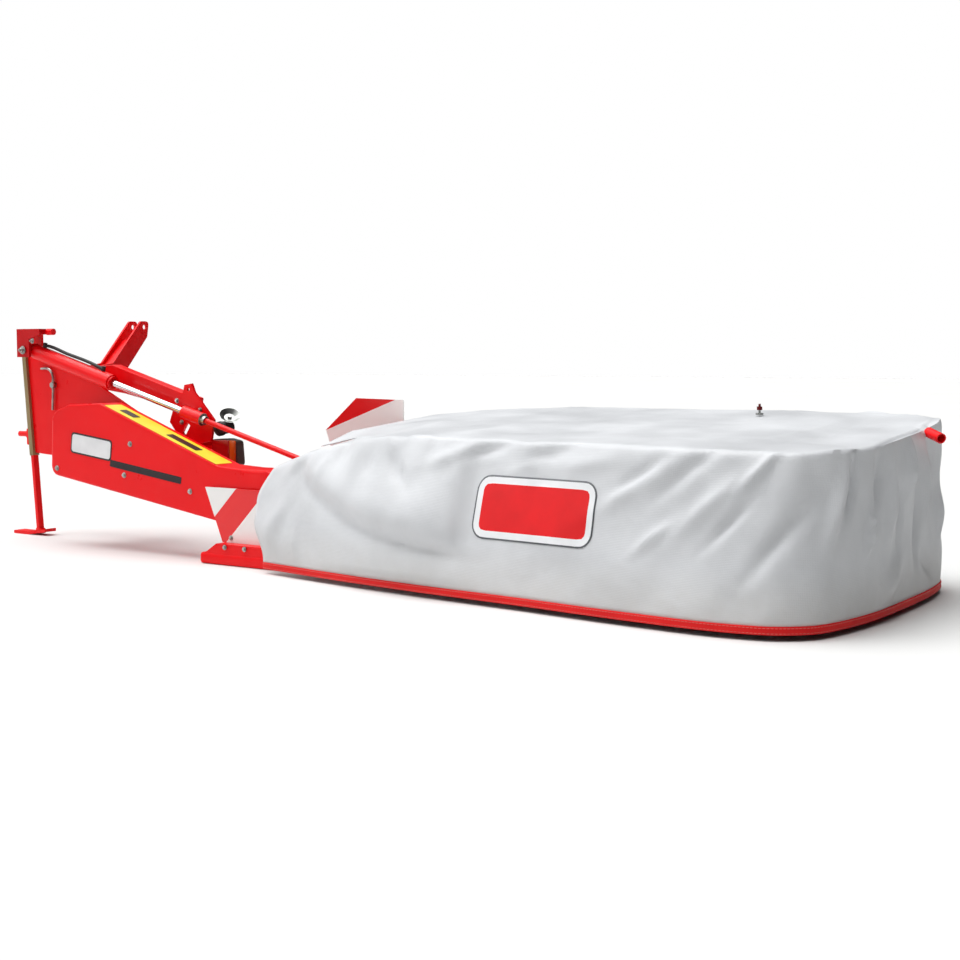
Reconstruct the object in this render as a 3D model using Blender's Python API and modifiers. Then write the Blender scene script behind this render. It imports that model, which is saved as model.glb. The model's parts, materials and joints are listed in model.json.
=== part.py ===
"""A side-mounted disc mower on its parking stand: headstock, belt-drive arm, cutterbar and fabric cover.

X runs outward along the cutterbar, Y forward and Z up, in metres. Sizes below are in a working frame whose
origin lies on the ground, under the hinge of the cutterbar. The last step centres the machine on its own base.
"""

import math

import bmesh
import bpy
from mathutils import Matrix, Vector

# Clearances
GAP = 0.0003  # between pieces that seat on each other
SLIDE_GAP = 0.001  # between a shaft or leg and its guide
SHAFT_GAP = 0.0008  # of the drive shaft in its bearing
HOLE_SIDES = 24

# Planes across the machine, rear to front
HOUSING_REAR = -0.34
HOUSING_FRONT = -0.22
ARM_THICKNESS = 0.0197
CYLINDER_Y = -0.15
FRAME_REAR = -0.105
PLATE_THICKNESS = 0.015
BEAM_WIDTH = 0.06

# Pivots, as (x, z)
ARM_AXIS = (-1.14, 0.50)
FOLD_AXIS = (0.0, 0.33)
BARREL_PIN = (-1.71, 0.94)
ROD_EYE = (0.13, 0.434)

# Headstock
HITCH_X = -1.45
HITCH_PIN_TIP = 0.49
HITCH_SHOULDER = 0.4125
HITCH_PIN_RADIUS = 0.014
HITCH_PIN_Y = -0.055
HITCH_PIN_Z = 0.51
EAR_SPACING = 0.083
EAR_THICKNESS = 0.012
EAR_HOLE = (0.318, 1.06)
EAR_HOLE_RADIUS = 0.0127
BEARING_RADIUS = 0.06
BEARING_FRONT = 0.16

LAMP_FRONT = -0.0333

# Parking stand
GUIDE_TOP = (-1.829, 1.047)
GUIDE_BOTTOM = (-1.776, 0.406)
GUIDE_WIDTH = 0.027
GUIDE_DEPTH = 0.04
GUIDE_Y = -0.10
GUIDE_WALL = 0.003
STAND_TRAVEL = 0.36
STAND_LENGTH = 0.66
FOOT_THICKNESS = 0.016
FOOT_WIDTH = 0.07

# Drive
SHAFT_RADIUS = 0.0175
SHAFT_FRONT = 0.26
FOLD_SHAFT_RADIUS = 0.035
FOLD_SHAFT_FRONT = -0.036
HOUSING_END_RADIUS = 0.088

# Lift cylinder
BARREL_RADIUS = 0.0375
BARREL_EYE_RADIUS = 0.034
ROD_RADIUS = 0.016
PULL_ROD_RADIUS = 0.0125
ROD_EYE_RADIUS = 0.026
BARREL_LENGTH = 0.59
CLEVIS_START = 1.09
COLLAR_START = 1.215

# Cutterbar
DISC_COUNT = 6
DISC_PITCH = 0.39
FIRST_DISC_X = 0.385
DISC_LONG_RADIUS = 0.18
DISC_SHORT_RADIUS = 0.14
DISC_HEIGHT = 0.034
BLADE_TIP_RADIUS = 0.235
BLADE_WIDTH = 0.048
BLADE_THICKNESS = 0.004
BAR_START = -0.05
BAR_END = 2.60
BAR_REAR = -0.12
BAR_FRONT = 0.15
BAR_BOTTOM = 0.03
BAR_TOP = 0.095
HUB_RADIUS = 0.055
HUB_HEIGHT = 0.018
SKID_WIDTH = 0.30
SHOE_TOP = 0.093
GEARBOX_FRONT = 0.12
GEARBOX_TOP = 0.39

# Cover
COVER_THICKNESS = 0.004
HEM_BOTTOM = 0.02
HEM_HEIGHT = 0.028
SPINE_Y = 0.10
SPINE_RISE = 0.004
LATCH_PLACE = (1.90, 0.56)
RAIL_RADIUS = 0.017
RAIL_INSET = 0.03
ROD_SLOT_WIDTH = 0.07
ROD_SLOT_END = 0.34
# Rear inner corner, round the outer end, to the front inner corner: (x, y) at the hem
HEM_OUTLINE = [
    (0.14, -0.50), (0.62, -0.59), (1.11, -0.655), (1.52, -0.69), (1.90, -0.74), (2.28, -0.77),
    (2.50, -0.74), (2.63, -0.63), (2.69, -0.30), (2.69, 0.30), (2.655, 0.60), (2.52, 0.78),
    (2.28, 0.82), (1.90, 0.82), (1.52, 0.82), (1.11, 0.82), (0.62, 0.81), (0.14, 0.79),
]
# The same stations at the top edge: (x, y, z)
TOP_OUTLINE = [
    (0.14, -0.40, 0.44), (0.62, -0.43, 0.588), (1.11, -0.50, 0.60), (1.52, -0.55, 0.60),
    (1.90, -0.61, 0.60), (2.28, -0.63, 0.60), (2.47, -0.61, 0.60), (2.60, -0.52, 0.60),
    (2.67, -0.27, 0.605), (2.665, 0.29, 0.645), (2.63, 0.58, 0.672), (2.50, 0.76, 0.68),
    (2.28, 0.80, 0.68), (1.90, 0.80, 0.68), (1.52, 0.80, 0.68), (1.11, 0.80, 0.678),
    (0.62, 0.79, 0.67), (0.14, 0.77, 0.63),
]
END_TUBE_MOUTH = (2.742, 0.23, 0.612)
END_TUBE_ROOT = (2.676, 0.293, 0.630)
END_TUBE_RADIUS = 0.019

# Paints and finishes: sRGB-like linear colour, roughness, metallic
RED = ("machine_red", (0.83, 0.02, 0.02), 0.35, 0.0)
STEEL = ("bare_steel", (0.45, 0.44, 0.42), 0.4, 1.0)
CHROME = ("hard_chrome", (0.75, 0.75, 0.75), 0.12, 1.0)
OLIVE = ("faded_guide", (0.29, 0.22, 0.12), 0.6, 0.0)
RUBBER = ("black_rubber", (0.02, 0.02, 0.02), 0.8, 0.0)
FABRIC = ("cover_fabric", (0.66, 0.67, 0.69), 0.75, 0.0)


def clear_scene():
    for old in list(bpy.data.objects):
        bpy.data.objects.remove(old, do_unlink=True)


def new_collection(name):
    collection = bpy.data.collections.new(name)
    bpy.context.scene.collection.children.link(collection)
    return collection


def material(finish):
    name, colour, roughness, metallic = finish
    made = bpy.data.materials.get(name)
    if made:
        return made
    made = bpy.data.materials.new(name)
    made.use_nodes = True
    shader = made.node_tree.nodes["Principled BSDF"]
    shader.inputs["Base Color"].default_value = (*colour, 1.0)
    shader.inputs["Roughness"].default_value = roughness
    shader.inputs["Metallic"].default_value = metallic
    return made


def add_mesh(name, mesh, finish, sharp_angle=35):
    """Link a mesh as an object of the machine, smooth on its round faces."""
    mesh.materials.clear()
    mesh.materials.append(material(finish))
    mesh.shade_smooth()
    mesh.set_sharp_from_angle(angle=math.radians(sharp_angle))
    made = bpy.data.objects.new(name, mesh)
    machine.objects.link(made)
    return made


def box(name, low, high, finish, bevel=0.0):
    """A block between two corners, with rounded edges where a bevel is given."""
    size = Vector(high) - Vector(low)
    middle = (Vector(high) + Vector(low)) / 2
    shape = bmesh.new()
    bmesh.ops.create_cube(shape, size=1.0, matrix=Matrix.Translation(middle) @ Matrix.Diagonal((*size, 1)))
    if bevel:
        bmesh.ops.bevel(shape, geom=shape.edges[:], offset=bevel, segments=2, profile=0.5, affect="EDGES")
    mesh = bpy.data.meshes.new(name)
    shape.to_mesh(mesh)
    shape.free()
    return add_mesh(name, mesh, finish)


def rod(name, start, end, radius, finish, sides=24, end_radius=None):
    """A cylinder, or a cone, between two points."""
    start, end = Vector(start), Vector(end)
    along = end - start
    turn = along.to_track_quat("Z", "Y").to_matrix().to_4x4()
    shape = bmesh.new()
    bmesh.ops.create_cone(
        shape, cap_ends=True, segments=sides, radius1=radius,
        radius2=radius if end_radius is None else end_radius,
        depth=along.length, matrix=Matrix.Translation((start + end) / 2) @ turn,
    )
    mesh = bpy.data.meshes.new(name)
    shape.to_mesh(mesh)
    shape.free()
    return add_mesh(name, mesh, finish)


def across(name, centre, rear, front, radius, finish, sides=24):
    """A cylinder along Y about an (x, z) centre."""
    x, z = centre
    return rod(name, (x, rear, z), (x, front, z), radius, finish, sides)


def arc(centre, radius, start, end, steps):
    """Points of a circular arc, angles in degrees."""
    turns = [math.radians(start + (end - start) * i / steps) for i in range(steps + 1)]
    return [(centre[0] + radius * math.cos(t), centre[1] + radius * math.sin(t)) for t in turns]


def rounded(corners, radius, steps=4):
    """A closed outline with its outer corners rounded and its inner ones kept."""
    outline = []
    turns = sum(a[0] * b[1] - a[1] * b[0] for a, b in zip(corners, corners[1:] + corners[:1]))
    for i, corner in enumerate(corners):
        here = Vector(corner)
        before = Vector(corners[i - 1]) - here
        after = Vector(corners[(i + 1) % len(corners)]) - here
        if after.cross(before) * turns <= 0:
            outline.append(corner)
            continue
        opening = before.angle(after)
        reach = min(radius / math.tan(opening / 2), before.length * 0.45, after.length * 0.45)
        first = here + before.normalized() * reach
        last = here + after.normalized() * reach
        for k in range(steps + 1):
            t = k / steps
            outline.append(tuple((1 - t) ** 2 * first + 2 * t * (1 - t) * here + t ** 2 * last))
    return outline


PLANES = {
    "xz": Matrix.Rotation(math.radians(90), 4, "X"),
    "yz": Matrix.Rotation(math.radians(90), 4, "Z") @ Matrix.Rotation(math.radians(90), 4, "X"),
    "xy": Matrix.Identity(4),
}


def slab(name, outline, low, high, finish, plane="xz", holes=(), bevel=0.0):
    """A flat outline given thickness between two levels. Holes are (centre, radius)."""
    curve = bpy.data.curves.new(name, "CURVE")
    curve.dimensions = "2D"
    curve.fill_mode = "BOTH"
    curve.extrude = (high - low) / 2
    across_flats = 1 / math.cos(math.pi / HOLE_SIDES)
    last = 360 - 360 / HOLE_SIDES
    rings = [arc(centre, radius * across_flats, 0, last, HOLE_SIDES - 1) for centre, radius in holes]
    for ring in [outline] + rings:
        spline = curve.splines.new("POLY")
        spline.points.add(len(ring) - 1)
        for point, (a, b) in zip(spline.points, ring):
            point.co = (a, b, 0, 1)
        spline.use_cyclic_u = True
    middle = (low + high) / 2
    shift = {"xz": (0, middle, 0), "yz": (middle, 0, 0), "xy": (0, 0, middle)}[plane]
    return curve_to_mesh(name, curve, finish, Matrix.Translation(shift) @ PLANES[plane], bevel)


def curve_to_mesh(name, curve, finish, place=Matrix.Identity(4), bevel=0.0):
    """A curve made a welded mesh in its place, so that it can be cut or joined."""
    holder = bpy.data.objects.new(name + "_curve", curve)
    machine.objects.link(holder)
    mesh = bpy.data.meshes.new_from_object(holder.evaluated_get(bpy.context.evaluated_depsgraph_get()))
    bpy.data.objects.remove(holder, do_unlink=True)
    shape = bmesh.new()
    shape.from_mesh(mesh)
    bmesh.ops.remove_doubles(shape, verts=shape.verts, dist=1e-5)
    bmesh.ops.transform(shape, matrix=place, verts=shape.verts)
    bmesh.ops.recalc_face_normals(shape, faces=shape.faces)
    if bevel:
        sharp = [e for e in shape.edges if e.is_convex and e.calc_face_angle() > math.radians(60)]
        bmesh.ops.bevel(shape, geom=sharp, offset=bevel, segments=2, profile=0.5, affect="EDGES")
    shape.to_mesh(mesh)
    shape.free()
    return add_mesh(name, mesh, finish)


def pipe(name, points, radius, finish, smooth=True, resolution=3):
    """A tube along points, with closed ends."""
    curve = bpy.data.curves.new(name, "CURVE")
    curve.dimensions = "3D"
    curve.bevel_depth = radius
    curve.bevel_resolution = resolution
    curve.use_fill_caps = True
    curve.resolution_u = 4
    spline = curve.splines.new("BEZIER" if smooth else "POLY")
    if smooth:
        spline.bezier_points.add(len(points) - 1)
        for knot, point in zip(spline.bezier_points, points):
            knot.co = point
            knot.handle_left_type = knot.handle_right_type = "AUTO"
    else:
        spline.points.add(len(points) - 1)
        for knot, point in zip(spline.points, points):
            knot.co = (*point, 1)
    return curve_to_mesh(name, curve, finish)


def combine(operation, base, tools):
    """Apply exact Booleans to the base. The tools are used up."""
    for tool in tools:
        step = base.modifiers.new(tool.name, "BOOLEAN")
        step.operation = operation
        step.solver = "EXACT"
        step.object = tool
    mesh = bpy.data.meshes.new_from_object(base.evaluated_get(bpy.context.evaluated_depsgraph_get()))
    base.modifiers.clear()
    finish = base.data.materials[0]
    base.data = mesh
    mesh.materials.clear()
    mesh.materials.append(finish)
    mesh.shade_smooth()
    mesh.set_sharp_from_angle(angle=math.radians(35))
    for tool in tools:
        bpy.data.objects.remove(tool, do_unlink=True)
    return base


def fuse(base, *tools):
    return combine("UNION", base, tools)


def cut(base, *tools):
    for tool in tools:
        machine.objects.unlink(tool)
        cutters.objects.link(tool)
        tool.display_type = "WIRE"
        tool.hide_render = True
    return combine("DIFFERENCE", base, tools)


def rides_on(pivot, *objects):
    """Parent objects to an empty that stands on their joint's axis."""
    for made in objects:
        made.parent = pivot
        made.matrix_parent_inverse = pivot.matrix_world.inverted()


def empty(name, place, parent=None):
    made = bpy.data.objects.new(name, None)
    machine.objects.link(made)
    made.location = place
    bpy.context.view_layer.update()
    if parent:
        made.parent = parent
        made.matrix_parent_inverse = parent.matrix_world.inverted()
        bpy.context.view_layer.update()
    return made


def guide_axis():
    """Unit vector down the stand's guide, in the XZ plane."""
    return Vector((GUIDE_BOTTOM[0] - GUIDE_TOP[0], 0, GUIDE_BOTTOM[1] - GUIDE_TOP[1])).normalized()


def guide_edge(z, offset):
    """X of a line beside the guide's centre at height z."""
    share = (GUIDE_TOP[1] - z) / (GUIDE_TOP[1] - GUIDE_BOTTOM[1])
    return GUIDE_TOP[0] + share * (GUIDE_BOTTOM[0] - GUIDE_TOP[0]) + offset / -guide_axis().z


def headstock_plate():
    beside = GUIDE_WIDTH / 2 + GAP
    outline = [
        (guide_edge(0.42, beside), 0.42), (guide_edge(1.03, beside), 1.03), (-1.70, 1.03), (-1.70, 0.885),
        (-1.42, 0.862), (-1.26, 0.755), (-0.75, 0.515), (-0.81, 0.43), (-1.05, 0.40), (-1.45, 0.40),
    ]
    return slab(
        "headstock_plate", outline, FRAME_REAR, FRAME_REAR + PLATE_THICKNESS, RED,
        holes=[(ARM_AXIS, BEARING_RADIUS + GAP)],
    )


def headstock_boom():
    """Box beam from the plate to the lift bracket."""
    rear = FRAME_REAR + PLATE_THICKNESS + GAP
    outline = [
        (-1.50, 0.80), (-1.50, 0.855), (-1.20, 0.868), (-0.645, 0.714), (-0.66, 0.645), (-0.81, 0.668),
        (-1.115, 0.728), (-1.30, 0.75),
    ]
    return slab("headstock_boom", outline, rear, rear + BEAM_WIDTH, RED, bevel=0.006)


def lift_bracket():
    """Plate at the boom's end, in front of the lift rod, with an upright ear and a slot."""
    front = FRAME_REAR + PLATE_THICKNESS
    outline = [
        (-0.80, 0.60), (-0.775, 0.663), (-0.72, 0.713), (-0.70, 0.775), (-0.655, 0.782), (-0.638, 0.742),
        (-0.515, 0.615), (-0.535, 0.515), (-0.71, 0.490), (-0.73, 0.5175),
    ]
    plate = slab("lift_bracket", outline, FRAME_REAR + 0.001, front, RED, holes=[((-0.676, 0.755), 0.009)])
    slot = slab(
        "slot_cutter", rounded([(-0.72, 0.55), (-0.685, 0.60), (-0.665, 0.585), (-0.70, 0.535)], 0.008),
        FRAME_REAR - 0.01, front + 0.01, RED,
    )
    return cut(plate, slot)


def top_link_mast():
    """Two leaning side plates with ears for the top link, joined by a web."""
    rear = FRAME_REAR + PLATE_THICKNESS + BEAM_WIDTH + 2 * GAP
    side = rounded([
        (rear, 0.76), (0.12, 0.76), (0.335, 1.01), (EAR_HOLE[0] + 0.03, EAR_HOLE[1] + 0.03),
        (EAR_HOLE[0] - 0.025, EAR_HOLE[1] + 0.03), (0.10, 0.875), (rear, 0.855),
    ], 0.02)
    plates = []
    for sign in (-1, 1):
        middle = HITCH_X + sign * EAR_SPACING / 2
        plates.append(slab(
            "mast_side", side, middle - EAR_THICKNESS / 2, middle + EAR_THICKNESS / 2, RED,
            plane="yz", holes=[(EAR_HOLE, EAR_HOLE_RADIUS)],
        ))
    half = EAR_SPACING / 2
    web = slab(
        "mast_web", [(0.0, 0.845), (0.11, 0.865), (0.24, 0.995), (0.25, 0.985), (0.115, 0.85), (0.0, 0.83)],
        HITCH_X - half, HITCH_X + half, RED, plane="yz",
    )
    plates[0].name = "top_link_mast"
    return fuse(plates[0], plates[1], web)


def hitch_bracket(side, sign, inner_x, low_z, high_z):
    """A lower-link pin on its block, which is bolted to the headstock's front face."""
    rear = FRAME_REAR + PLATE_THICKNESS + GAP
    shoulder = HITCH_X + sign * HITCH_SHOULDER
    tip = HITCH_X + sign * HITCH_PIN_TIP
    clear = GUIDE_Y + GUIDE_DEPTH / 2 + GAP if sign < 0 else rear
    block = box(
        "hitch_pin_" + side, (min(shoulder, inner_x), clear, low_z), (max(shoulder, inner_x), -0.028, high_z),
        RED, bevel=0.006,
    )
    pad = box(
        "pad", (inner_x - 0.045, rear, low_z + 0.012), (inner_x - 0.012, clear + 0.02, high_z - 0.012), RED,
    ) if sign < 0 else None
    pin = rod(
        "pin", ((shoulder + inner_x) / 2, HITCH_PIN_Y, HITCH_PIN_Z), (tip, HITCH_PIN_Y, HITCH_PIN_Z),
        HITCH_PIN_RADIUS, RED,
    )
    collar = rod(
        "collar", (shoulder - sign * 0.005, HITCH_PIN_Y, HITCH_PIN_Z),
        (shoulder + sign * 0.012, HITCH_PIN_Y, HITCH_PIN_Z), HITCH_PIN_RADIUS + 0.008, RED,
    )
    return fuse(block, pin, collar, *([pad] if pad else []))


def bearing_tube():
    rear = HOUSING_FRONT + ARM_THICKNESS + GAP + SLIDE_GAP
    tube = across("bearing_tube", ARM_AXIS, rear, BEARING_FRONT, BEARING_RADIUS, RED, 32)
    bore = across("bore_cutter", ARM_AXIS, rear - 0.05, BEARING_FRONT + 0.05, SHAFT_RADIUS + SHAFT_GAP, RED)
    return cut(tube, bore)


def stand_guide():
    """Square outer tube of the parking stand, open at both ends."""
    down = guide_axis()
    side = Vector((-down.z, 0, down.x))
    top = Vector((GUIDE_TOP[0], GUIDE_Y, GUIDE_TOP[1]))
    length = math.dist(GUIDE_TOP, GUIDE_BOTTOM)
    return cut(
        beam("stand_guide", top, down, side, 0, length, GUIDE_WIDTH, GUIDE_DEPTH, OLIVE),
        beam("guide_cutter", top, down, side, -0.05, length + 0.05,
             GUIDE_WIDTH - 2 * GUIDE_WALL, GUIDE_DEPTH - 2 * GUIDE_WALL, OLIVE),
    )


def beam(name, origin, along, side, start, end, width, depth, finish):
    """A rectangular bar along a slanting line in the XZ plane."""
    frame = Matrix((
        (side.x, 0, along.x, 0), (0, 1, 0, 0), (side.z, 0, along.z, 0), (0, 0, 0, 1),
    ))
    middle = origin + along * (start + end) / 2
    shape = bmesh.new()
    size = Matrix.Diagonal((width, depth, end - start, 1))
    bmesh.ops.create_cube(shape, size=1.0, matrix=Matrix.Translation(middle) @ frame @ size)
    bmesh.ops.recalc_face_normals(shape, faces=shape.faces)
    mesh = bpy.data.meshes.new(name)
    shape.to_mesh(mesh)
    shape.free()
    return add_mesh(name, mesh, finish)


def parking_stand():
    """Inner leg with a bent foot, shown lowered to the ground."""
    down = guide_axis()
    side = Vector((-down.z, 0, down.x))
    base_z = FOOT_THICKNESS / 2
    share = (GUIDE_TOP[1] - base_z) / (GUIDE_TOP[1] - GUIDE_BOTTOM[1])
    base = Vector((GUIDE_TOP[0] + share * (GUIDE_BOTTOM[0] - GUIDE_TOP[0]), GUIDE_Y, base_z))
    inner_width = GUIDE_WIDTH - 2 * GUIDE_WALL - 2 * SLIDE_GAP
    inner_depth = GUIDE_DEPTH - 2 * GUIDE_WALL - 2 * SLIDE_GAP
    leg = beam("parking_stand", base, -down, side, 0, STAND_LENGTH, inner_width, inner_depth, RED)
    half = FOOT_THICKNESS / 2
    bend = [(base.x - 0.165, half), (base.x - 0.055, half), (base.x + 0.075, half + 0.02)]
    foot = slab("foot", [
        (bend[0][0], 0.0), (bend[1][0], 0.0), (bend[2][0], bend[2][1] - half),
        (bend[2][0], bend[2][1] + half), (bend[1][0], FOOT_THICKNESS), (bend[0][0], FOOT_THICKNESS),
    ], GUIDE_Y - FOOT_WIDTH / 2, GUIDE_Y + FOOT_WIDTH / 2, RED)
    heel = box(
        "heel", (base.x - 0.02, GUIDE_Y - 0.014, half), (base.x + 0.02, GUIDE_Y + 0.014, 0.034), RED,
    )
    return fuse(leg, foot, heel)


def cylinder_anchor():
    """Bracket that holds the barrel's pin behind the headstock plate."""
    front = FRAME_REAR - GAP
    x, z = BARREL_PIN
    ear = slab("cylinder_anchor", [
        (x - 0.05, z - 0.035), (x - 0.05, z + 0.105), (x + 0.12, z + 0.105), (x + 0.12, z + 0.075),
        (x + 0.04, z + 0.055), (x + 0.04, z - 0.035),
    ], -0.207, -0.194, RED)
    bridge = box("bridge", (x - 0.05, -0.207, z + 0.078), (x + 0.12, front, z + 0.105), RED)
    pin = across("pin", BARREL_PIN, -0.212, front, 0.0125, RED)
    return fuse(ear, bridge, pin)


def anchor_knob():
    """Pull knob of the cylinder's lock, on the bracket's end."""
    x, z = BARREL_PIN
    return rod("lock_knob", (x + 0.1203, -0.155, z + 0.09), (x + 0.165, -0.155, z + 0.09), 0.016, RED, 16)


def hanger_rod():
    """Bent rod in a nut on the plate: the latch handle of the stand."""
    y = FRAME_REAR - 0.012
    bent = pipe("hanger_rod", [
        (-1.69, y, 0.847), (-1.635, y, 0.845), (-1.607, y, 0.82), (-1.603, y, 0.77), (-1.61, y, 0.64),
    ], 0.006, STEEL, resolution=2)
    nut = across("nut", (-1.603, 0.765), FRAME_REAR - 0.022, FRAME_REAR - GAP, 0.016, STEEL, 6)
    return fuse(bent, nut)


def rear_lamp():
    """Lamp case on the headstock, with its lens face to the rear."""
    return slab("rear_lamp", rounded([
        (-0.545, 0.405), (-0.545, 0.525), (-0.455, 0.530), (-0.395, 0.520), (-0.385, 0.405),
    ], 0.018), -0.088, LAMP_FRONT, RUBBER, bevel=0.004)


def lamp_bracket():
    """Bar from the lift bracket to the lamp's back."""
    rear = FRAME_REAR + PLATE_THICKNESS + GAP
    bar = box("lamp_bracket", (-0.66, LAMP_FRONT + GAP, 0.472), (-0.43, -0.0245, 0.512), RED)
    leg = box("leg", (-0.66, rear, 0.493), (-0.60, -0.026, 0.510), RED)
    return fuse(bar, leg)


def fold_buffer():
    """Rubber buffer and its dished washer at the bracket's end."""
    x, z = -0.4948, 0.575
    rubber = rod("fold_buffer", (x - 0.0145, -0.075, z - 0.003), (x + 0.055, -0.075, z + 0.012), 0.030, RUBBER)
    return fuse(rubber, rod("foot", (x - 0.017, -0.075, z - 0.0035), (x, -0.075, z), 0.034, RUBBER))


def housing_outline():
    """Belt housing in the XZ plane: round about both shafts."""
    end = arc(FOLD_AXIS, HOUSING_END_RADIUS, 90, -75, 12)
    top = [(-1.06, 0.688), (-1.02, 0.690), (-0.264, 0.425), (-0.12, 0.418)]
    left = arc((-1.297, 0.597), 0.06, 180, 110, 5)
    heel = arc((-1.317, 0.385), 0.05, 255, 180, 5)
    return heel + left + [(-1.24, 0.679)] + top + end + [(-0.268, 0.177)]


def belt_housing():
    """Pressed shell, open towards the arm."""
    shape = bmesh.new()
    ring = [shape.verts.new((x, HOUSING_REAR, z)) for x, z in housing_outline()]
    face = shape.faces.new(ring)
    rim = bmesh.ops.extrude_edge_only(shape, edges=face.edges[:])["geom"]
    moved = [v for v in rim if isinstance(v, bmesh.types.BMVert)]
    bmesh.ops.translate(shape, verts=moved, vec=(0, HOUSING_FRONT - HOUSING_REAR, 0))
    edges = [e for e in shape.edges if e.is_manifold and e.calc_face_angle() > math.radians(60)]
    bmesh.ops.bevel(shape, geom=edges, offset=0.012, segments=2, profile=0.5, affect="EDGES")
    bmesh.ops.recalc_face_normals(shape, faces=shape.faces)
    mesh = bpy.data.meshes.new("belt_housing")
    shape.to_mesh(mesh)
    shape.free()
    housing = add_mesh("belt_housing", mesh, RED)
    middle = sum((p.normal.y for p in mesh.polygons if p.center.y < HOUSING_REAR + 1e-4))
    wall = housing.modifiers.new("wall", "SOLIDIFY")
    wall.thickness = 0.004
    wall.offset = -1 if middle < 0 else 1
    return housing


def arm_beam():
    """Arm plate behind the belts, with the shaft's hole."""
    rear = HOUSING_FRONT + GAP
    return slab(
        "arm_beam", housing_outline(), rear, HOUSING_FRONT + ARM_THICKNESS, RED,
        holes=[(ARM_AXIS, SHAFT_RADIUS + 0.006)],
    )


def arm_hub():
    """Ring that turns on the headstock's bearing tube."""
    rear = HOUSING_FRONT + ARM_THICKNESS + GAP
    ring = across("arm_hub", ARM_AXIS, rear, -0.14, BEARING_RADIUS + 0.028, RED, 32)
    bore = across("bore_cutter", ARM_AXIS, rear - 0.05, 0.0, BEARING_RADIUS + SLIDE_GAP, RED, 32)
    return cut(ring, bore)


def fold_shaft():
    rear = HOUSING_FRONT + ARM_THICKNESS + GAP
    return across("fold_shaft", FOLD_AXIS, rear, FOLD_SHAFT_FRONT, FOLD_SHAFT_RADIUS, STEEL, 32)


def input_shaft():
    """Drive input, with a splined front end."""
    shaft = across("input_shaft", ARM_AXIS, -0.26, SHAFT_FRONT - 0.06, SHAFT_RADIUS, STEEL)
    turn = 12
    teeth = []
    for i in range(turn):
        angle = 2 * math.pi * i / turn
        for share, radius in ((0.0, 0.0150), (0.25, 0.0172), (0.5, 0.0172), (0.75, 0.0150)):
            a = angle + share * 2 * math.pi / turn
            teeth.append((ARM_AXIS[0] + radius * math.cos(a), ARM_AXIS[1] + radius * math.sin(a)))
    spline = slab("spline", teeth, SHAFT_FRONT - 0.07, SHAFT_FRONT, STEEL)
    return fuse(shaft, spline)


def lift_frame():
    """Origin and unit vectors of the lift cylinder's line."""
    start = Vector((BARREL_PIN[0], CYLINDER_Y, BARREL_PIN[1]))
    end = Vector((ROD_EYE[0], CYLINDER_Y, ROD_EYE[1]))
    return start, end, (end - start).normalized()


def lift_barrel():
    start, _, along = lift_frame()
    barrel = rod("lift_barrel", start + along * 0.03, start + along * BARREL_LENGTH, BARREL_RADIUS, RED, 32)
    eye = across("eye", BARREL_PIN, CYLINDER_Y - 0.022, CYLINDER_Y + 0.022, BARREL_EYE_RADIUS, RED)
    gland = rod(
        "gland", start + along * (BARREL_LENGTH - 0.01), start + along * (BARREL_LENGTH + 0.012),
        BARREL_RADIUS - 0.006, RED, 24,
    )
    body = fuse(barrel, eye, gland)
    eye_hole = across("eye_cutter", BARREL_PIN, -0.3, 0.0, 0.0125 + SLIDE_GAP, RED)
    bore = rod(
        "rod_cutter", start + along * 0.08, start + along * (BARREL_LENGTH + 0.05), ROD_RADIUS + SLIDE_GAP, RED,
    )
    return cut(body, eye_hole, bore)


def lift_hose():
    """Hose clipped along the top of the barrel, with a fitting at each end."""
    start, _, along = lift_frame()
    up = Vector((-along.z, 0, along.x))
    if up.z < 0:
        up = -up
    lift = BARREL_RADIUS + 0.0086
    stations = [(0.085, 0.0), (0.12, 0.006), (0.25, 0.004), (0.40, 0.006), (0.47, 0.003), (0.52, 0.0)]
    hose = pipe("lift_hose", [start + along * s + up * (lift + h) for s, h in stations], 0.008, RUBBER)
    ends = []
    for s in (0.085, 0.52):
        foot = start + along * s + up * (BARREL_RADIUS + GAP)
        ends.append(rod("fitting", foot, foot + up * 0.022, 0.010, RUBBER, 12))
    return fuse(hose, *ends)


def lift_rod():
    """Chrome rod, clevis sleeve, collar and pull rod: one piece that slides in the barrel."""
    start, end, along = lift_frame()
    chrome = rod("lift_rod", start + along * 0.34, start + along * (CLEVIS_START + 0.01), ROD_RADIUS, CHROME)
    sleeve = rod("sleeve", start + along * CLEVIS_START, start + along * COLLAR_START, 0.030, RED)
    collar = rod(
        "collar", start + along * (COLLAR_START - 0.002), start + along * (COLLAR_START + 0.02), 0.020, STEEL,
    )
    pull = rod("pull", start + along * COLLAR_START, end - along * 0.01, PULL_ROD_RADIUS, RED)
    eye = across("eye", ROD_EYE, CYLINDER_Y - 0.0115, CYLINDER_Y + 0.0115, ROD_EYE_RADIUS, RED)
    whole = fuse(chrome, sleeve, collar, pull, eye)
    return cut(whole, across("eye_cutter", ROD_EYE, -0.3, 0.0, 0.0125, RED))


def cutterbar():
    """Flat gear trough, with a raised hub for each disc."""
    profile = [
        (BAR_REAR, 0.05), (BAR_REAR + 0.02, BAR_TOP), (BAR_FRONT - 0.05, BAR_TOP), (BAR_FRONT, 0.065),
        (BAR_FRONT, 0.05), (BAR_FRONT - 0.05, BAR_BOTTOM), (BAR_REAR + 0.02, BAR_BOTTOM),
    ]
    bar = slab("cutterbar", profile, BAR_START, BAR_END, RED, plane="yz")
    hubs = [
        rod("hub", (x, 0, BAR_TOP - 0.01), (x, 0, BAR_TOP + HUB_HEIGHT), HUB_RADIUS, RED, 20)
        for x in disc_places()
    ]
    return fuse(bar, *hubs)


def disc_places():
    return [FIRST_DISC_X + DISC_PITCH * i for i in range(DISC_COUNT)]


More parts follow.
